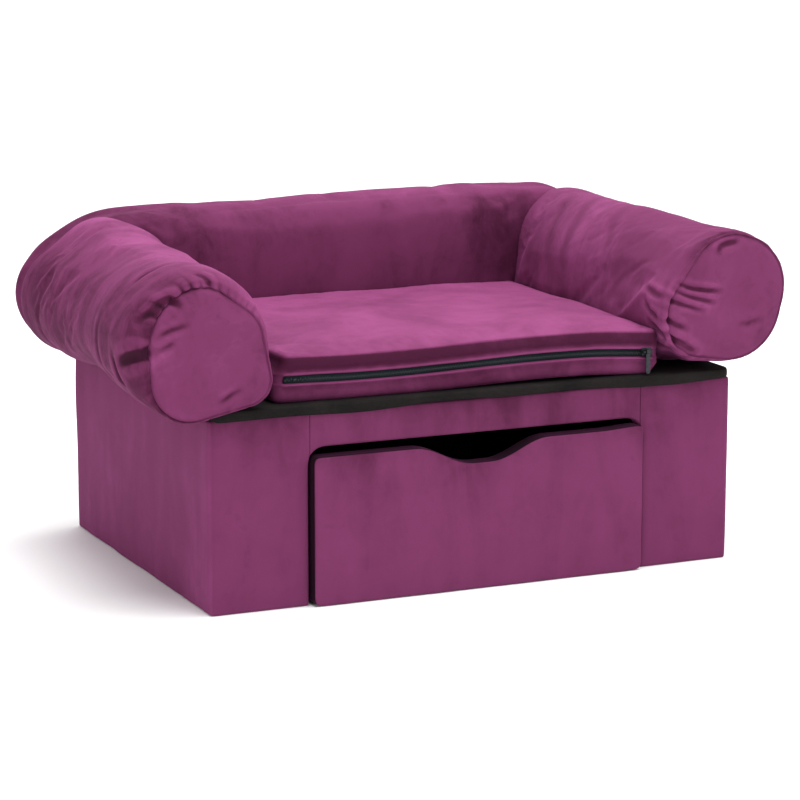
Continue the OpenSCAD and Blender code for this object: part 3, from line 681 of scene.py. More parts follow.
def creaseArm(piece, end, low, sign, rearMiddle, capMiddle):
    # gathers that run out from the cap's seam, soft bands round the roll, and single creases
    points, normals = getPoints(piece), getNormals(piece)
    fromSeam, seed = getMark(piece, "fromSeam"), end["seed"]
    share = smooth(-points[:, 1], -10 * mm, -arms["shoulderStart"])[:, None]
    middle = rearMiddle * (1 - share) + capMiddle * share
    turn = np.arctan2(points[:, 2] - middle[:, 1], points[:, 0] * sign - middle[:, 0])
    outside, before = np.clip(-fromSeam, 0, 1), fromSeam < 0
    wander = 0.9 * np.sin(2 * turn + seed) + 0.6 * np.sin(3 * turn + 2.1 * seed) + 0.4 * np.sin(7 * turn + seed)
    pinch = np.abs(np.sin(end["folds"] / 2 * turn + wander + 2.5 * outside / (60 * mm)))
    wide = np.abs(np.sin(end["folds"] / 4 * turn + 0.7 * wander + seed))
    uneven = 0.75 + 0.45 * np.sin(5 * turn + seed) * np.sin(3 * turn + 2 * seed) + 0.25 * np.sin(11 * turn)
    gathered = gatherShare(turn, end)
    near = np.exp(-outside / (11 * mm)) * smooth(outside, 0.2 * mm, 3 * mm) * before
    far = np.exp(-outside / (34 * mm)) * smooth(outside, 5 * mm, 18 * mm) * before
    gathers = end["foldDepth"] * mm * gathered * uneven * (near * (pinch - 0.75) + 0.6 * far * (wide - 0.62))
    slanted = points + 0.3 * points[:, [2, 0, 1]]
    bands = unevenness(slanted, (52, seed, 10, 0.5, (0.3, 1.0, 0.4)), (22, seed + 1, 12, 0.16, (0.35, 1, 0.4)))
    sags = unevenness(points, (130, seed + 2, 8, 1.2))
    away = smooth(outside, 6 * mm, 40 * mm) * before
    onCap = (fromSeam > 0) * smooth(fromSeam, 1 * mm, 8 * mm)
    # the gathers run a little way on to the cap as fine pleats
    pleats = onCap * np.exp(-np.clip(fromSeam, 0, 1) / (9 * mm)) * gathered * (pinch - 0.7) * 0.9 * mm
    lines = sum(crease(points, path, depth * mm, width * mm) for path, depth, width in end["creases"])
    grip = smooth(points[:, 2] - low.z + 20 * mm * (np.abs(points[:, 0]) > 0.303), 1 * mm, 12 * mm)
    move = (gathers + bands * away + sags * away) * grip
    move = move + onCap * unevenness(points, (36, seed + 5, 10, 0.4)) + pleats + lines
    setPoints(piece, points + normals * move[:, None])
    # painted shading: the sides of the roll painted darker or lighter by direction, painted shade in the valleys
    # near the seam, along the seam's groove and in the creases, and painted highlights on the ridges and pleats
    dim = 0 * turn
    closeBy = np.exp(-outside / (28 * mm))
    for at, spread, body, shoulder in end["napShading"]:
        dim += sector(turn, at, spread) * (body + (shoulder - body) * closeBy) * before
    dim += near * gathered * uneven * (1.6 * (0.62 - pinch))
    # painted shade along the seam's groove, stronger where the roll is gathered
    dim += end["seamDark"] * hill(fromSeam, 1.3 * mm) * (0.4 + gathered)
    dim += np.clip(-lines / (1.4 * mm), -0.35, 0.8) - onCap * pleats / mm * 0.5
    mark(piece, "dim", np.clip(dim, -1, 1.5))


# ---- padded shapes between two faces

def fillGrid(loop, across, up):
    # Coons patch: a grid inside a closed loop whose points run bottom, right, top, left
    bottom, right = loop[:across], loop[across - 1:across + up - 1]
    top = loop[across + up - 2:2 * across + up - 2][::-1]
    left = np.vstack([loop[2 * across + up - 3:], loop[:1]])[::-1]
    u, v = np.linspace(0, 1, across)[:, None, None], np.linspace(0, 1, up)[None, :, None]
    edges = (1 - v) * bottom[:, None] + v * top[:, None] + (1 - u) * left[None] + u * right[None]
    ends = (1 - u) * (1 - v) * bottom[0] + u * (1 - v) * bottom[-1] + (1 - u) * v * top[0] + u * v * top[-1]
    return edges - ends


def splitLoop(outline, corners, across, up):
    # resamples a closed outline: even steps on each of its four sides, between the points nearest the corners
    starts = [int(np.argmin(((outline - np.array(c)) ** 2).sum(1))) for c in corners]
    turned = closed(np.roll(outline, -starts[0], 0))
    ends = [(s - starts[0]) % len(outline) for s in starts] + [len(outline)]
    sides = [evenly(turned[ends[k]:ends[k + 1] + 1], n)[:-1] for k, n in enumerate((across, up, across, up))]
    return np.concatenate(sides)


def cornersOf(centre, halfX, halfY):
    return [(centre[0] + sx * halfX, centre[1] + sy * halfY) for sx, sy in ((-1, -1), (1, -1), (1, 1), (-1, 1))]


def level(u, v):
    return 0 * u


def paddedShape(loop, across, up, rings, frontRise=level, backRise=level, upright=False):
    # two filled faces joined by rings; a ring is (offset outwards, depth), and rise lifts each face by its own
    # amount; upright turns the depth to run along Y
    along = np.roll(loop, -1, 0) - np.roll(loop, 1, 0)
    outward = np.stack([along[:, 1], -along[:, 0]], -1)
    outward /= np.linalg.norm(outward, axis=1, keepdims=True)
    index = np.arange(across * up).reshape(across, up)
    rim = np.concatenate([index[:-1, 0], index[-1, :-1], index[:0:-1, -1], index[0, :0:-1]])
    u, v = np.meshgrid(np.linspace(-1, 1, across), np.linspace(-1, 1, up), indexing="ij")
    count, last = len(loop), across * up + len(loop) * (len(rings) - 2)
    layers, indices = [], [rim]
    for k, (offset, depth) in enumerate(rings):
        if k in (0, len(rings) - 1):
            rise = frontRise if k == 0 else backRise
            face = fillGrid(loop + outward * offset, across, up).reshape(-1, 2)
            layers.append(np.column_stack([face, depth + rise(u, v).ravel()]))
        else:
            layers.append(np.column_stack([loop + outward * offset, np.full(count, depth)]))
            indices.append(across * up + (k - 1) * count + np.arange(count))
    indices.append(last + rim)
    faces = [gridQuads(across, up), gridQuads(across, up, first=last)[:, ::-1]]
    for one, other in zip(indices[:-1], indices[1:]):
        faces.append(np.stack([one, other, np.roll(other, -1), np.roll(one, -1)], -1))
    points = np.concatenate(layers)
    return points[:, [0, 2, 1]] if upright else points, np.concatenate(faces), np.concatenate(indices)


def roundedBox(halfX, halfY, radius, centre):
    # anticlockwise outline of a rectangle with round corners, in steps of 2 mm or less
    angles = np.radians(np.linspace(0, 90, 16))
    arcs = []
    for turn, (x, y) in zip((180, 270, 0, 90), cornersOf((0, 0), halfX - radius, halfY - radius)):
        a = angles + math.radians(turn)
        arcs.append(np.stack([x + radius * np.cos(a), y + radius * np.sin(a)], -1))
    outline = closed(np.concatenate(arcs))
    steps = []
    for one, other in zip(outline[:-1], outline[1:]):
        parts = max(1, int(np.linalg.norm(other - one) / (2 * mm)))
        steps.append(one + (other - one) * np.linspace(0, 1, parts, endpoint=False)[:, None])
    return np.concatenate(steps) + np.array(centre)


# ---- backrest

backrest = {
    "topRadius": 118 * mm, "lowRadius": 62 * mm, "step": 6 * mm,
    "edge": 20 * mm,          # rounding between the front face and the top
    "fall": 24 * mm,          # how far the top falls towards the rear
    "crown": 5 * mm,          # how far the front face swells
    "besideArm": 5 * mm,      # how far it is drawn in where the arms run past it, for a depth of pastArm
    "pastArm": 29 * mm,
    # how much higher the top is along its length: x in metres, rise in mm
    "topLine": ((-0.35, -6.5), (-0.2, -5), (-0.1, -3), (0, -2), (0.07, 0), (0.15, 1), (0.23, 0.5), (0.3, -1)),
}


def buildBackrest():
    # an outline with wide round top corners, carried back in rings that round over to the top and fall behind
    low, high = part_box("backrest_cover")
    r, top = backrest["lowRadius"], backrest["topRadius"]
    right = high.x
    band = bandAround([(-(right - r), low.z + r, r), (right - r, low.z + r, r),
                       (right - top, high.z - top, top), (-(right - top), high.z - top, top)])
    across, up = int((high.x - low.x) / backrest["step"]), int((high.z - low.z) / backrest["step"])
    corners = [(-right + 18 * mm, low.z + 18 * mm), (right - 18 * mm, low.z + 18 * mm),
               (right - 27 * mm, high.z - 27 * mm), (-right + 27 * mm, high.z - 27 * mm)]
    loop = splitLoop(evenly(closed(band), 1400)[:-1], corners, across, up)
    edge, fall, draw = backrest["edge"], backrest["fall"], backrest["besideArm"]
    crest = low.y + edge
    behind = crest + backrest["pastArm"]
    rings = [(-inset - draw, low.y + depth) for inset, depth in rounding(edge, 9, 0.05)]
    rings += [(-draw, crest + 6 * mm), (-draw, crest + 12 * mm), (-draw, crest + 18 * mm)]
    rings += [(-draw * 0.7, crest + 24 * mm), (-1 * mm, behind)]
    rings += [(-fall * (1 - math.cos(b)) - 1 * mm, behind + (high.y - behind) * math.sin(b))
              for b in np.linspace(0.15, 0.97, 9) * quarterTurn]
    points, faces, _ = paddedShape(
        loop, across, up, rings,
        lambda u, v: -backrest["crown"] * (1 - u ** 6) * (1 - np.abs(v) ** 2.2),
        lambda u, v: 1.5 * mm * (1 - u ** 4) * (1 - v ** 4), upright=True)
    # the foot stays flat on the seat, and the top follows its own line
    points[:, 2] = np.where(points[:, 2] < low.z + 6 * mm, low.z + (points[:, 2] - low.z) * 0.2, points[:, 2])
    line = np.array(backrest["topLine"])
    rise = np.interp(points[:, 0], line[:, 0], line[:, 1] * mm)
    points[:, 2] += rise * smooth(points[:, 2], high.z - 60 * mm, high.z - 15 * mm)
    piece = makePiece("backrest", points, faces, velvetBack, "base")
    held = smooth(-(points[:, 2] - low.z), -6 * mm, -1 * mm) + (points[:, 1] > high.y - 6 * mm)
    stuff(piece, np.clip(held + (np.abs(points[:, 0]) > 0.24), 0, 1), 2.6, 0.006, 3 * mm)
    refine(piece)
    points, normals = getPoints(piece), getNormals(piece)
    move = unevenness(points, (160, 31, 9, 1.2), (60, 32, 12, 0.4, (1, 0.5, 0.5)))
    move *= smooth(points[:, 2] - low.z, 2 * mm, 25 * mm)
    setPoints(piece, points + normals * move[:, None])
    # painted shading: a painted highlight along the top, and painted shade towards both ends
    lit = smooth(points[:, 2], high.z - 12 * mm, high.z - 2 * mm)
    mark(piece, "dim", np.clip(0.1 + 0.2 * smooth(np.abs(points[:, 0]), 0.1, 0.24) - 0.5 * lit, -1, 1))
    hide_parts("backrest_cover", "backrest_foam_front", "backrest_foam_rear", "backrest_board")
    print("backrest")


# ---- cushion and its zip

cushion = {
    "corner": 8 * mm, "step": 5 * mm,
    "crown": 6 * mm,          # how far the top swells
    "turnBack": 6 * mm,       # how far its left front corner lies back
    "wave": 2.3 * mm,         # how much the front rises and falls along its length
    "rightDip": 2.6 * mm,     # how much lower the right front corner is
    "lips": 1.7 * mm,         # how far the folds beside the zip stand out
    "underArm": 10 * mm,      # how far the left end reaches under the arm
    # mm outwards and from the top, from the tape's edge and from the bottom
    "side": ((-6, -0.6), (-3.2, 0.5), (-1.3, 1.9), (-0.2, 3.8), (0.3, 5.6), (0.4, 8), (0.5, 10.5), (0.5, 13),
             (0.5, 15.2)),
    "fold": ((0.6, 3.4), (0.7, 2.0), (0.7, 0.9), (0.3, 0.2), (-0.2, -0.6)),
    "foot": ((0.6, 13.5), (0.6, 11), (0.6, 8.5), (0.4, 6.2), (-0.2, 4.2), (-1.4, 2.4), (-3.2, 1.0), (-6, 0.2),
             (-9, 0)),
}
zipLook = {"pitch": 1.5 * mm, "tooth": (0.42, 0.5, 1.0), "stagger": 0.55 * mm, "tape": 0.5 * mm, "columns": 180}


def cushionPlaces():
    # the gusset's box, and the heights of the cushion's bottom, its top and the zip's middle
    low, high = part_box("cushion_gusset")
    coilLow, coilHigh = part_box("zip_coil")
    bottom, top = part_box("cushion_cover_bottom")[0].z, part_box("cushion_cover_top")[1].z
    return low, high, bottom, top, (coilLow.z + coilHigh.z) / 2


def buildCushion():
    # a box with round corners: rings down the side, round the zip's two folds and in under the bottom
    low, high, bottom, top, zipMiddle = cushionPlaces()
    halfX, halfY = (high.x - low.x) / 2, (high.y - low.y) / 2
    centre = ((low.x + high.x) / 2, (low.y + high.y) / 2)
    across, up = int(2 * halfX / cushion["step"]), int(2 * halfY / cushion["step"])
    k = cushion["corner"] * 0.3
    outline = roundedBox(halfX, halfY, cushion["corner"], centre)
    loop = splitLoop(outline, cornersOf(centre, halfX - k, halfY - k), across, up)
    tapeHalf = (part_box("zip_tape_upper")[1].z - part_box("zip_tape_lower")[0].z) / 2
    rings = [(out * mm, top - down * mm) for out, down in cushion["side"]]
    rings += [(out * mm, zipMiddle + tapeHalf + rise * mm) for out, rise in cushion["fold"]]
    rings += [(-0.3 * mm, zipMiddle)]
    rings += [(out * mm, zipMiddle - tapeHalf - rise * mm) for out, rise in cushion["fold"][::-1]]
    rings += [(out * mm, bottom + rise * mm) for out, rise in cushion["foot"]]
    points, faces, rim = paddedShape(
        loop, across, up, rings, lambda u, v: cushion["crown"] * (1 - np.abs(u) ** 3.2) * (1 - np.abs(v) ** 3.2))
    nearEdge = np.zeros(len(points))
    nearEdge[rim] = 1
    piece = makePiece("cushion", points, faces, velvetCushion, "cushion")
    stuff(piece, np.where(points[:, 2] < bottom + 1 * mm, 1, 0.9 * nearEdge), 3.0, 0.006, 3 * mm)
    refine(piece)
    shapeCushion(piece, tapeHalf)
    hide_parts("cushion_foam", "cushion_cover_top", "cushion_cover_bottom", "cushion_gusset")
    print("cushion")


def settleCushion(points):
    # the loose cushion: its left front corner lies back, its front rises and falls and its right end sags
    low, high, bottom, top, _ = cushionPlaces()
    x, y, z = points.T
    frontness = 1 - smooth(y, low.y, low.y + 160 * mm)
    leftness = np.clip((high.x - x) / (high.x - low.x), 0, 1)
    wave = -np.cos(2 * np.pi * (x + 0.12) / 0.43) * cushion["wave"]
    wave = wave - cushion["rightDip"] * smooth(x, 130 * mm, 217 * mm)
    raised = np.where((z - bottom) / (top - bottom) < 0.02, np.maximum(wave, 0), wave)
    # the lower right corner of the front is rounded off
    tuck = smooth(x, 198 * mm, 217 * mm) ** 2 * (1 - smooth(z - bottom, 0, 16 * mm)) * 11 * mm
    # its left end reaches in under the curve of the arm
    under = cushion["underArm"] * smooth(-x, 188 * mm, 208 * mm) * (1 - smooth(z - bottom, 24 * mm, 44 * mm))
    y = y + frontness * leftness * cushion["turnBack"]
    return np.stack([x - under, y, z + frontness * (raised + tuck)], -1)


def shapeCushion(piece, tapeHalf):
    # sets the zip's folds, the unevenness and the gathered ribs into the surface, and marks the painted shading
    low, _, bottom, top, zipMiddle = cushionPlaces()
    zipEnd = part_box("zip_coil")[1].x
    points, normals = getPoints(piece), getNormals(piece)
    z = points[:, 2]
    onFront = smooth(-(points[:, 1] - low.y), -4 * mm, -2 * mm)
    onFront = onFront * (1 - smooth(np.abs(points[:, 0]), zipEnd + 1 * mm, zipEnd + 5 * mm))
    fromLip = np.abs(z - zipMiddle) - tapeHalf
    # the zip lies between two folded lips, with a soft hollow behind each fold
    puckers = 1 + 0.25 * ripple(points, 26 * mm, 55, 8)
    lips = cushion["lips"] * hill(fromLip - 1.5 * mm, 1.5 * mm) * puckers
    hollow = 1.3 * mm * hill(fromLip - 5.5 * mm, 2.6 * mm)
    channel = 1.1 * mm * smooth(-fromLip, -0.3 * mm, 0.6 * mm)
    points[:, 1] += onFront * (channel + hollow - lips)
    onTop = smooth(z, top - 3 * mm, top)
    move = unevenness(points, (110, 51, 9, 0.9), (40, 52, 10, 0.3)) * (0.35 + 0.65 * onTop)
    # short ribs where the gusset is gathered to the top
    ribs = np.sin(points[:, 0] * 2 * np.pi / (4.3 * mm) + 2 * ripple(points, 50 * mm, 56, 6)) * 0.3 * mm * onFront
    ribs = ribs * smooth(z, zipMiddle + 9 * mm, zipMiddle + 13 * mm) * (1 - onTop)
    move = move * smooth(z - bottom, 0.5 * mm, 5 * mm) + ribs
    points = settleCushion(points + normals * move[:, None])
    points[:, 2] = np.maximum(points[:, 2], bottom)
    setPoints(piece, points)
    # painted shading: painted shade on the gusset, deeper on its upper band, a painted highlight on the top, and
    # painted highlights on the folded lips beside the zip
    gusset = 1 - smooth(z, top - 4 * mm, top - 1 * mm)
    dim = gusset * (0.6 + 0.6 * smooth(z, zipMiddle + 6 * mm, zipMiddle + 12 * mm)) - 0.5 * (1 - gusset)
    mark(piece, "dim", np.clip(dim - 0.9 * hill(fromLip - 1.2 * mm, 1.2 * mm) * onFront, -1, 1.3))


def addZip():
    # two ribbons of tape and a row of interlocked teeth, in the cushion's own channel
    low, *_, middle = cushionPlaces()
    columns = zipLook["columns"]
    for name, half in (("zip_tape_upper", 1), ("zip_tape_lower", -1)):
        tapeLow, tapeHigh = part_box(name)
        x = np.linspace(tapeLow.x, tapeHigh.x, columns)[:, None]
        edge = np.array([0.2, 0.6, 2.2, 3.8, 4.8]) * mm * half + middle
        depth = np.array([0.15, 0.1, 0.15, 0.3, 1.6]) * mm + low.y
        grid = settleCushion(np.stack(np.broadcast_arrays(x, depth, edge), -1).reshape(-1, 3))
        ribbon = makePiece(name + "_ribbon", grid, gridQuads(columns, 5), tapeBlack, "cushion")
        solid = ribbon.modifiers.new("thickness", "SOLIDIFY")
        solid.thickness, solid.offset = zipLook["tape"], 0
        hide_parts(name)
    coilLow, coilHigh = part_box("zip_coil")
    teeth = np.arange(coilLow.x, coilHigh.x, zipLook["pitch"])
    block = np.array([[sx, sy, sz] for sx in (-1, 1) for sy in (-1, 1) for sz in (-1, 1)]) * zipLook["tooth"] * mm
    turns = np.where(np.arange(len(teeth)) % 2, 1, -1)
    middles = np.stack([teeth, 0 * teeth + low.y - 0.05 * mm, middle + zipLook["stagger"] * turns], -1)
    points = (settleCushion(middles)[:, None] + block[None]).reshape(-1, 3)
    cube = np.array([[0, 1, 3, 2], [4, 6, 7, 5], [0, 4, 5, 1], [2, 3, 7, 6], [0, 2, 6, 4], [1, 5, 7, 3]])
    faces = (cube[None] + 8 * np.arange(len(teeth))[:, None, None]).reshape(-1, 4)
    row = makePiece("zip_teeth", points, faces, zipBlack, "cushion")
    row.data.shade_flat()
    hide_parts("zip_coil")
    print("zip")


# ---- box covers

baseCover = {
    "puff": 1.0 * mm, "step": 6 * mm, "topRound": 2.6 * mm, "edgeRound": 1.6 * mm, "seamX": 192.5 * mm,
    "openingHalf": 194.5 * mm, "openingTop": 167 * mm, "openingRadius": 18 * mm, "wall": 1.6 * mm,
    "shadeUnderTop": 0.55,          # painted shade: how much darker the panel is under the top edge
    "sidePaler": 0.4,         # painted light: how much lighter the left side is
}


def panelRows(low, high):
    # height rows with the inward turn at hem and top edge: z and inset
    hem, top = baseCover["edgeRound"], baseCover["topRound"]
    low = low - 0.6 * mm
    rows = [(low, hem + 4 * mm), (low, hem + 1 * mm)]
    rows += [(low + rise, inset) for rise, inset in rounding(hem, 5)[::-1]]
    rows += [(z, 0.0) for z in np.arange(low + hem + baseCover["step"], high - top - 2 * mm, baseCover["step"])]
    rows += [(high + 0.1 * mm - drop, inset) for drop, inset in rounding(top, 5)]
    rows += [(high + 0.15 * mm, top + 3 * mm), (high + 0.1 * mm, top + 7 * mm)]
    return np.array(rows).T


def skinPiece(name, grid, top):
    # a panel of velvet with its wall inwards
    piece = makePiece(name, grid.reshape(-1, 3), gridQuads(*grid.shape[:2]), velvetBase, "base")
    solid = piece.modifiers.new("thickness", "SOLIDIFY")
    solid.thickness, solid.offset = baseCover["wall"], -1
    subdivide(piece)
    # painted shade in streaky fingers under the top edge, and painted light on the left side
    x, y, z = grid.reshape(-1, 3).T
    reach = 34 * mm + 26 * mm * ripple(np.stack([x + y, 0 * x, 0 * x], -1), 55 * mm, 65, 9)
    dim = baseCover["shadeUnderTop"] * np.exp(-np.clip(top - z, 0, 1) / np.maximum(reach, 10 * mm))
    mark(piece, "dim", np.clip(dim - baseCover["sidePaler"] * smooth(-x, 0.2995, 0.3015), -1, 1))
    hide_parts("base_" + name)
    print(name)


def buildSideCover(side):
    # velvet that starts at the opening, wraps the front corner, runs down the side and ends at the rear
    # corner; a column is (x, y, turn of the way outwards from the front), for every height at once
    sign = 1 if side == "right" else -1
    low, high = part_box("base_cover_" + side)
    halfX = max(abs(low.x), abs(high.x))
    front, rear, r, seam = low.y, high.y + 3 * mm, 4 * mm, baseCover["seamX"]
    z, inset = panelRows(low.z, high.z)
    above = smooth(z, 150 * mm, 158 * mm)
    lining = 13 * mm * (1 - above) + 4 * mm * above
    rim = seam + 1.6 * mm * (1 - above)
    e = 2.5 * mm * (1 - above) + 0.9 * mm * above
    columns = [(rim, front + e + lining * share, -quarterTurn) for share in (1.0, 0.6, 0.25)]
    columns += [(rim + e * (1 - math.cos(b)), front + e * (1 - math.sin(b)), b - quarterTurn)
                for b in np.linspace(0, 1, 6) * quarterTurn]
    columns += [(x, front, 0) for x in (seam + 3.2 * mm, *np.linspace(seam + 8 * mm, halfX - r - 2 * mm, 18))]
    columns += [(halfX - r + r * math.sin(b), front + r - r * math.cos(b), b)
                for b in np.linspace(0, 1, 7) * quarterTurn]
    columns += [(halfX, y, quarterTurn) for y in np.linspace(front + r + 5 * mm, rear - r - 1 * mm, 68)]
    columns += [(halfX - 3 * mm * (1 - math.cos(b)), rear - 3.2 * mm + 3 * mm * math.sin(b), quarterTurn + b)
                for b in np.linspace(0.2, 1, 5) * quarterTurn]
    x, y, turn = (np.array([column[k] + 0 * z for column in columns]) for k in range(3))
    ways = np.stack([np.sin(turn), -np.cos(turn), 0 * turn], -1)
    grid = np.stack([x, y, z + 0 * x], -1) - ways * inset[:, None]
    height = smooth(z, low.z, low.z + 25 * mm) * (1 - smooth(z, high.z - 35 * mm, high.z - 4 * mm))
    isFlat = np.abs(ways).max(-1) > 0.99
    waves = unevenness(grid, (130, 61 if sign > 0 else 62, 9, 0.6), (45, 63, 10, 0.22, (1, 1, 0.4)))
    swell = (baseCover["puff"] * height * (0.2 + 0.8 * isFlat) + waves) * (np.arange(len(columns)) > 9)[:, None]
    grid = grid + ways * swell[..., None]
    grid[..., 0] *= sign
    skinPiece("cover_" + side, grid, high.z)


def withEnds(half, near, count, first):
    # even steps from -half to half, with the near distances added at both ends
    near = np.array(near)
    return np.concatenate([near - half, np.linspace(first - half, half - first, count), half - near[::-1]])


def buildCentreCover():
    # the strip over the opening: rows rise from the lining round the opening's edge, whose corners are arcs
    low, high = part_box("base_cover_centre")
    front, e, top = low.y, 2.4 * mm, baseCover["topRound"]
    x = withEnds(baseCover["seamX"] - 0.02 * mm, (0, 0.15 * mm, 0.6 * mm, 2 * mm), 64, 6 * mm)
    seamTurn = np.array([3, 0.7, 0.12, 0]) * mm
    seamTurn = np.concatenate([seamTurn, np.zeros(64), seamTurn[::-1]])
    r = baseCover["openingRadius"]
    past = np.clip(np.abs(x) - (baseCover["openingHalf"] - r), 0, r * 0.97)
    under = baseCover["openingTop"] - r + np.sqrt(r * r - past ** 2)
    rows = [(under + 0 * x, front + e + 12 * mm), (under, front + e + 6 * mm)]
    rows += [(under + rise, front + depth) for depth, rise in rounding(e, 6)]
    rows += [(under + e + (high.z - top - under - e) * share, front) for share in np.linspace(0.15, 0.9, 6)]
    rows += [(high.z + 0.1 * mm - drop, front + depth) for drop, depth in rounding(top, 6)]
    rows += [(high.z + 0.15 * mm, front + top + 3 * mm), (high.z + 0.1 * mm, front + top + 7 * mm)]
    grid = np.array([np.stack([x, y + seamTurn, z + 0 * x], -1) for z, y in rows])
    swell = np.array([0] * 8 + [0.4, 0.8, 1, 1, 0.8, 0.4] + [0] * (len(rows) - 14))[:, None] * (seamTurn == 0)
    grid[..., 1] -= swell * (0.5 * mm + unevenness(grid, (90, 71, 9, 0.4)))
    skinPiece("cover_centre", grid, high.z)


def buildRearCover():
    # an even grid whose ends turn in between the side covers
    low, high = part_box("base_cover_rear")
    z, inset = panelRows(low.z, high.z)
    x = withEnds(high.x - 3.2 * mm, (0, 0.3 * mm, 1.5 * mm), 96, 5 * mm)[:, None]
    turn = np.array([2.8, 1.2, 0.3]) * mm
    turn = np.concatenate([turn, np.zeros(96), turn[::-1]])[:, None]
    grid = np.stack(np.broadcast_arrays(x, high.y - inset - turn, z), -1).copy()
    grid[..., 1] += (unevenness(grid, (130, 81, 9, 0.7)) + 0.5 * mm) * (turn == 0)
    skinPiece("cover_rear", grid, high.z)


# ---- seat wrap

seatCloth = {
    "out": 2.4 * mm,          # how far its edge swells
    "sag": 3.2 * mm,          # how far the cloth hangs over the box's front
    "corner": 12 * mm, "squareness": 3.2, "across": 120, "up": 84,
}


def buildSeatWrap():
    # a superellipse section carried round a rectangle with round corners
    low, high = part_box("seat_wrap")
    halfX, halfY = (high.x - low.x) / 2, (high.y - low.y) / 2
    centre = ((low.x + high.x) / 2, (low.y + high.y) / 2)
    across, up = seatCloth["across"], seatCloth["up"]
    corners = cornersOf(centre, halfX - 4 * mm, halfY - 4 * mm)
    loop = splitLoop(roundedBox(halfX, halfY, seatCloth["corner"], centre), corners, across, up)
    middle, half = (low.z + high.z) / 2, (high.z - low.z) / 2
    power = 2 / seatCloth["squareness"]
    wide = 5 * mm + seatCloth["out"]
    # each coordinate is a power of the cosine or sine
    rings = [(wide * math.cos(b) ** power - 5 * mm, middle + half * math.copysign(abs(math.sin(b)) ** power, b))
             for b in np.radians(np.linspace(84, -84, 15))]
    points, faces, _ = paddedShape(loop, across, up, rings)
    piece = makePiece("seat_cloth", points, faces, wrapBlack, "base")
    refine(piece)
    points, normals = getPoints(piece), getNormals(piece)
    toEdge = np.maximum(np.abs(points[:, 0]) - halfX, np.abs(points[:, 1] - centre[1]) - halfY)
    move = smooth(toEdge, -4 * mm, 0) * unevenness(points, (90, 91, 10, 0.7), (30, 92, 12, 0.22))
    points = points + normals * (move * (np.abs(normals[:, 2]) < 0.75))[:, None]
    # the cloth hangs a little over the box in slow waves
    x, y, z = points.T
    sag = 0.5 - 0.5 * np.cos(2 * np.pi * (x - 0.02) / 0.42) + 0.35 * np.sin(2 * np.pi * x / 0.17)
    sag = np.clip(sag * (1 - smooth(y, low.y + 4 * mm, low.y + 12 * mm)), 0, 1.2)
    points[:, 2] -= seatCloth["sag"] * sag * (1 - smooth(z, low.z + 1 * mm, middle))
    setPoints(piece, points)
    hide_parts("seat_wrap")
    print("seat wrap")


# ---- drawer front

drawerFront = {
    "hang": 1.5 * mm,         # how far the velvet reaches below its board
    "sag": 2.2 * mm,          # how much lower the top edge is left of its right end
    "corner": 6 * mm, "edge": 2.2 * mm, "puff": 1.5 * mm, "step": 5 * mm,
    # the hand notch: width of its flat, length of each rise and depth
    "flat": 20 * mm, "ramp": 68 * mm, "depth": 21 * mm,
}


def gripDrop(x):
    # the notch: full depth on the flat, then half a cosine wave up to the top edge
    share = np.clip((np.abs(x) - drawerFront["flat"] / 2) / drawerFront["ramp"], 0, 1)
    return drawerFront["depth"] * (1 + np.cos(np.pi * share)) / 2


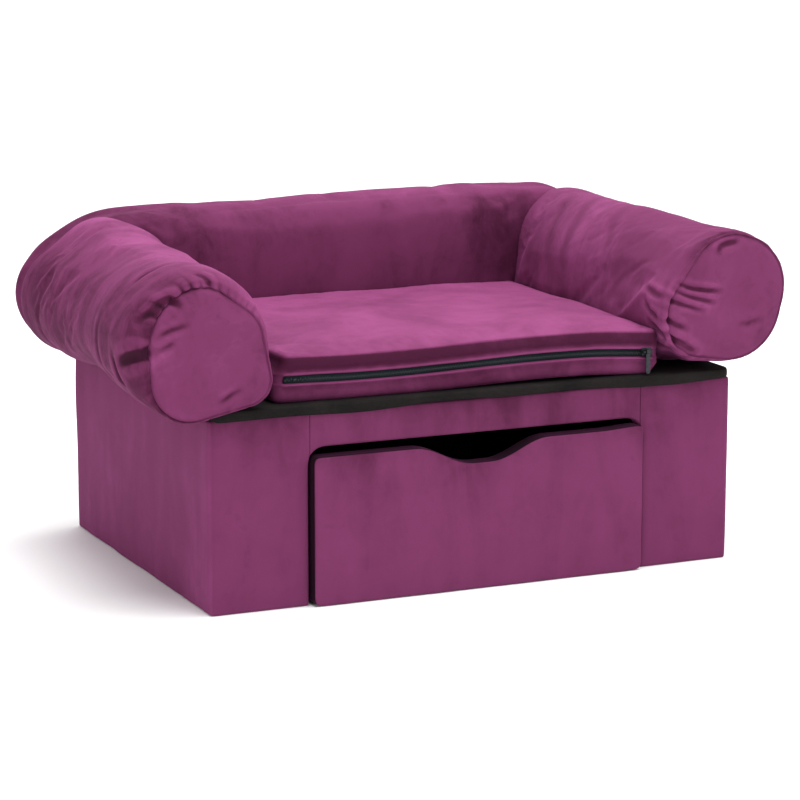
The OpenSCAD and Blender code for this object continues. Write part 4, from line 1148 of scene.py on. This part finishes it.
def buildDrawerFront():
    # a rectangle with the notch in its top edge, carried back in rings
    low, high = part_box("drawer_front_cover")
    low.z -= drawerFront["hang"]
    halfX, halfZ = (high.x - low.x) / 2, (high.z - low.z) / 2
    centre = ((low.x + high.x) / 2, (low.z + high.z) / 2)
    outline = roundedBox(halfX, halfZ, drawerFront["corner"], centre)
    # the upper corners are squarer than the lower ones
    squarer = smooth(outline[:, 1], high.z - 8 * mm, high.z - 6 * mm)
    squarer = squarer * smooth(np.abs(outline[:, 0]), halfX - 8 * mm, halfX - 6 * mm)
    toCorner = np.stack([np.sign(outline[:, 0]) * halfX, np.full(len(outline), high.z)], -1) - outline
    onArc = (np.abs(toCorner) > 0.01 * mm).all(1)
    outline += toCorner * (0.35 * squarer * onArc)[:, None]
    onTop = outline[:, 1] > high.z - drawerFront["corner"]
    sag = drawerFront["sag"] * (1 - smooth(outline[:, 0], 140 * mm, 185 * mm))
    outline[:, 1] -= np.where(onTop, gripDrop(outline[:, 0]) + sag, 0)
    across, up = int(2 * halfX / drawerFront["step"]), int(2 * halfZ / drawerFront["step"])
    k = drawerFront["corner"] * 0.3
    corners = [(low.x + k, low.z + k), (high.x - k, low.z + k), (high.x - k, high.z - k), (low.x + k, high.z - k)]
    loop = splitLoop(outline, corners, across, up)
    edge = drawerFront["edge"]
    rings = [(-inset, low.y + depth) for inset, depth in rounding(edge, 7, 0.06)]
    rings += [(0, y) for y in np.linspace(low.y + edge, high.y - 2 * mm, 5)[1:]]
    rings += [(-0.6 * mm, high.y - 1 * mm), (-2 * mm, high.y - 0.6 * mm)]
    points, faces, _ = paddedShape(
        loop, across, up, rings,
        lambda u, v: -drawerFront["puff"] * (1 - np.abs(u) ** 8) * (1 - np.abs(v) ** 5), upright=True)
    piece = makePiece("drawer_front", points, faces, velvetDrawer, "drawer")
    refine(piece)
    points, normals = getPoints(piece), getNormals(piece)
    move = unevenness(points, (120, 101, 9, 0.5), (42, 102, 10, 0.2, (1, 1, 0.4)))
    move *= smooth(-normals[:, 1], 0.6, 0.95)
    setPoints(piece, points + normals * move[:, None])
    # painted shade: the top and side faces, in the gap and under the opening's top, go nearly black, and the face
    # darkens in streaky fingers under the top edge
    down = high.z - gripDrop(points[:, 0]) - points[:, 2]
    reach = 16 * mm + 12 * mm * ripple(points * np.array([1, 0, 0]), 45 * mm, 103, 9)
    fingers = 0.5 * np.exp(-np.clip(down, 0, 1) / np.maximum(reach, 5 * mm))
    turned = smooth(points[:, 1], low.y + 0.5 * mm, low.y + 1.8 * mm)
    mark(piece, "dim", np.clip(fingers + 2 * turned, 0, 2))
    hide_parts("drawer_front_cover")
    print("drawer front")


# ---- floor

def addFloor():
    corners = [(-20, -8, 0), (20, -8, 0), (20, 40, 0), (-20, 40, 0)]
    mesh = bpy.data.meshes.new("floor")
    mesh.from_pydata(corners, [], [[0, 1, 2, 3]])
    floor = bpy.data.objects.new("floor", mesh)
    scene.collection.objects.link(floor)
    material, start, shader = newMaterial("pale floor", {"Roughness": 0.9, "Specular IOR Level": 0.0})
    shade = noise(start, placed(start), 1.5, 2).between(0, 1)
    feed(start, shader, {"Base Color": shade.mixColour((0.95, 0.95, 0.95, 1), (0.97, 0.97, 0.97, 1))})
    mesh.materials.append(material)


addFloor()
buildBackrest()
buildArm("left")
buildArm("right")
buildCushion()
addZip()
buildSideCover("left")
buildSideCover("right")
buildCentreCover()
buildRearCover()
buildSeatWrap()
buildDrawerFront()

bpy.context.view_layer.update()
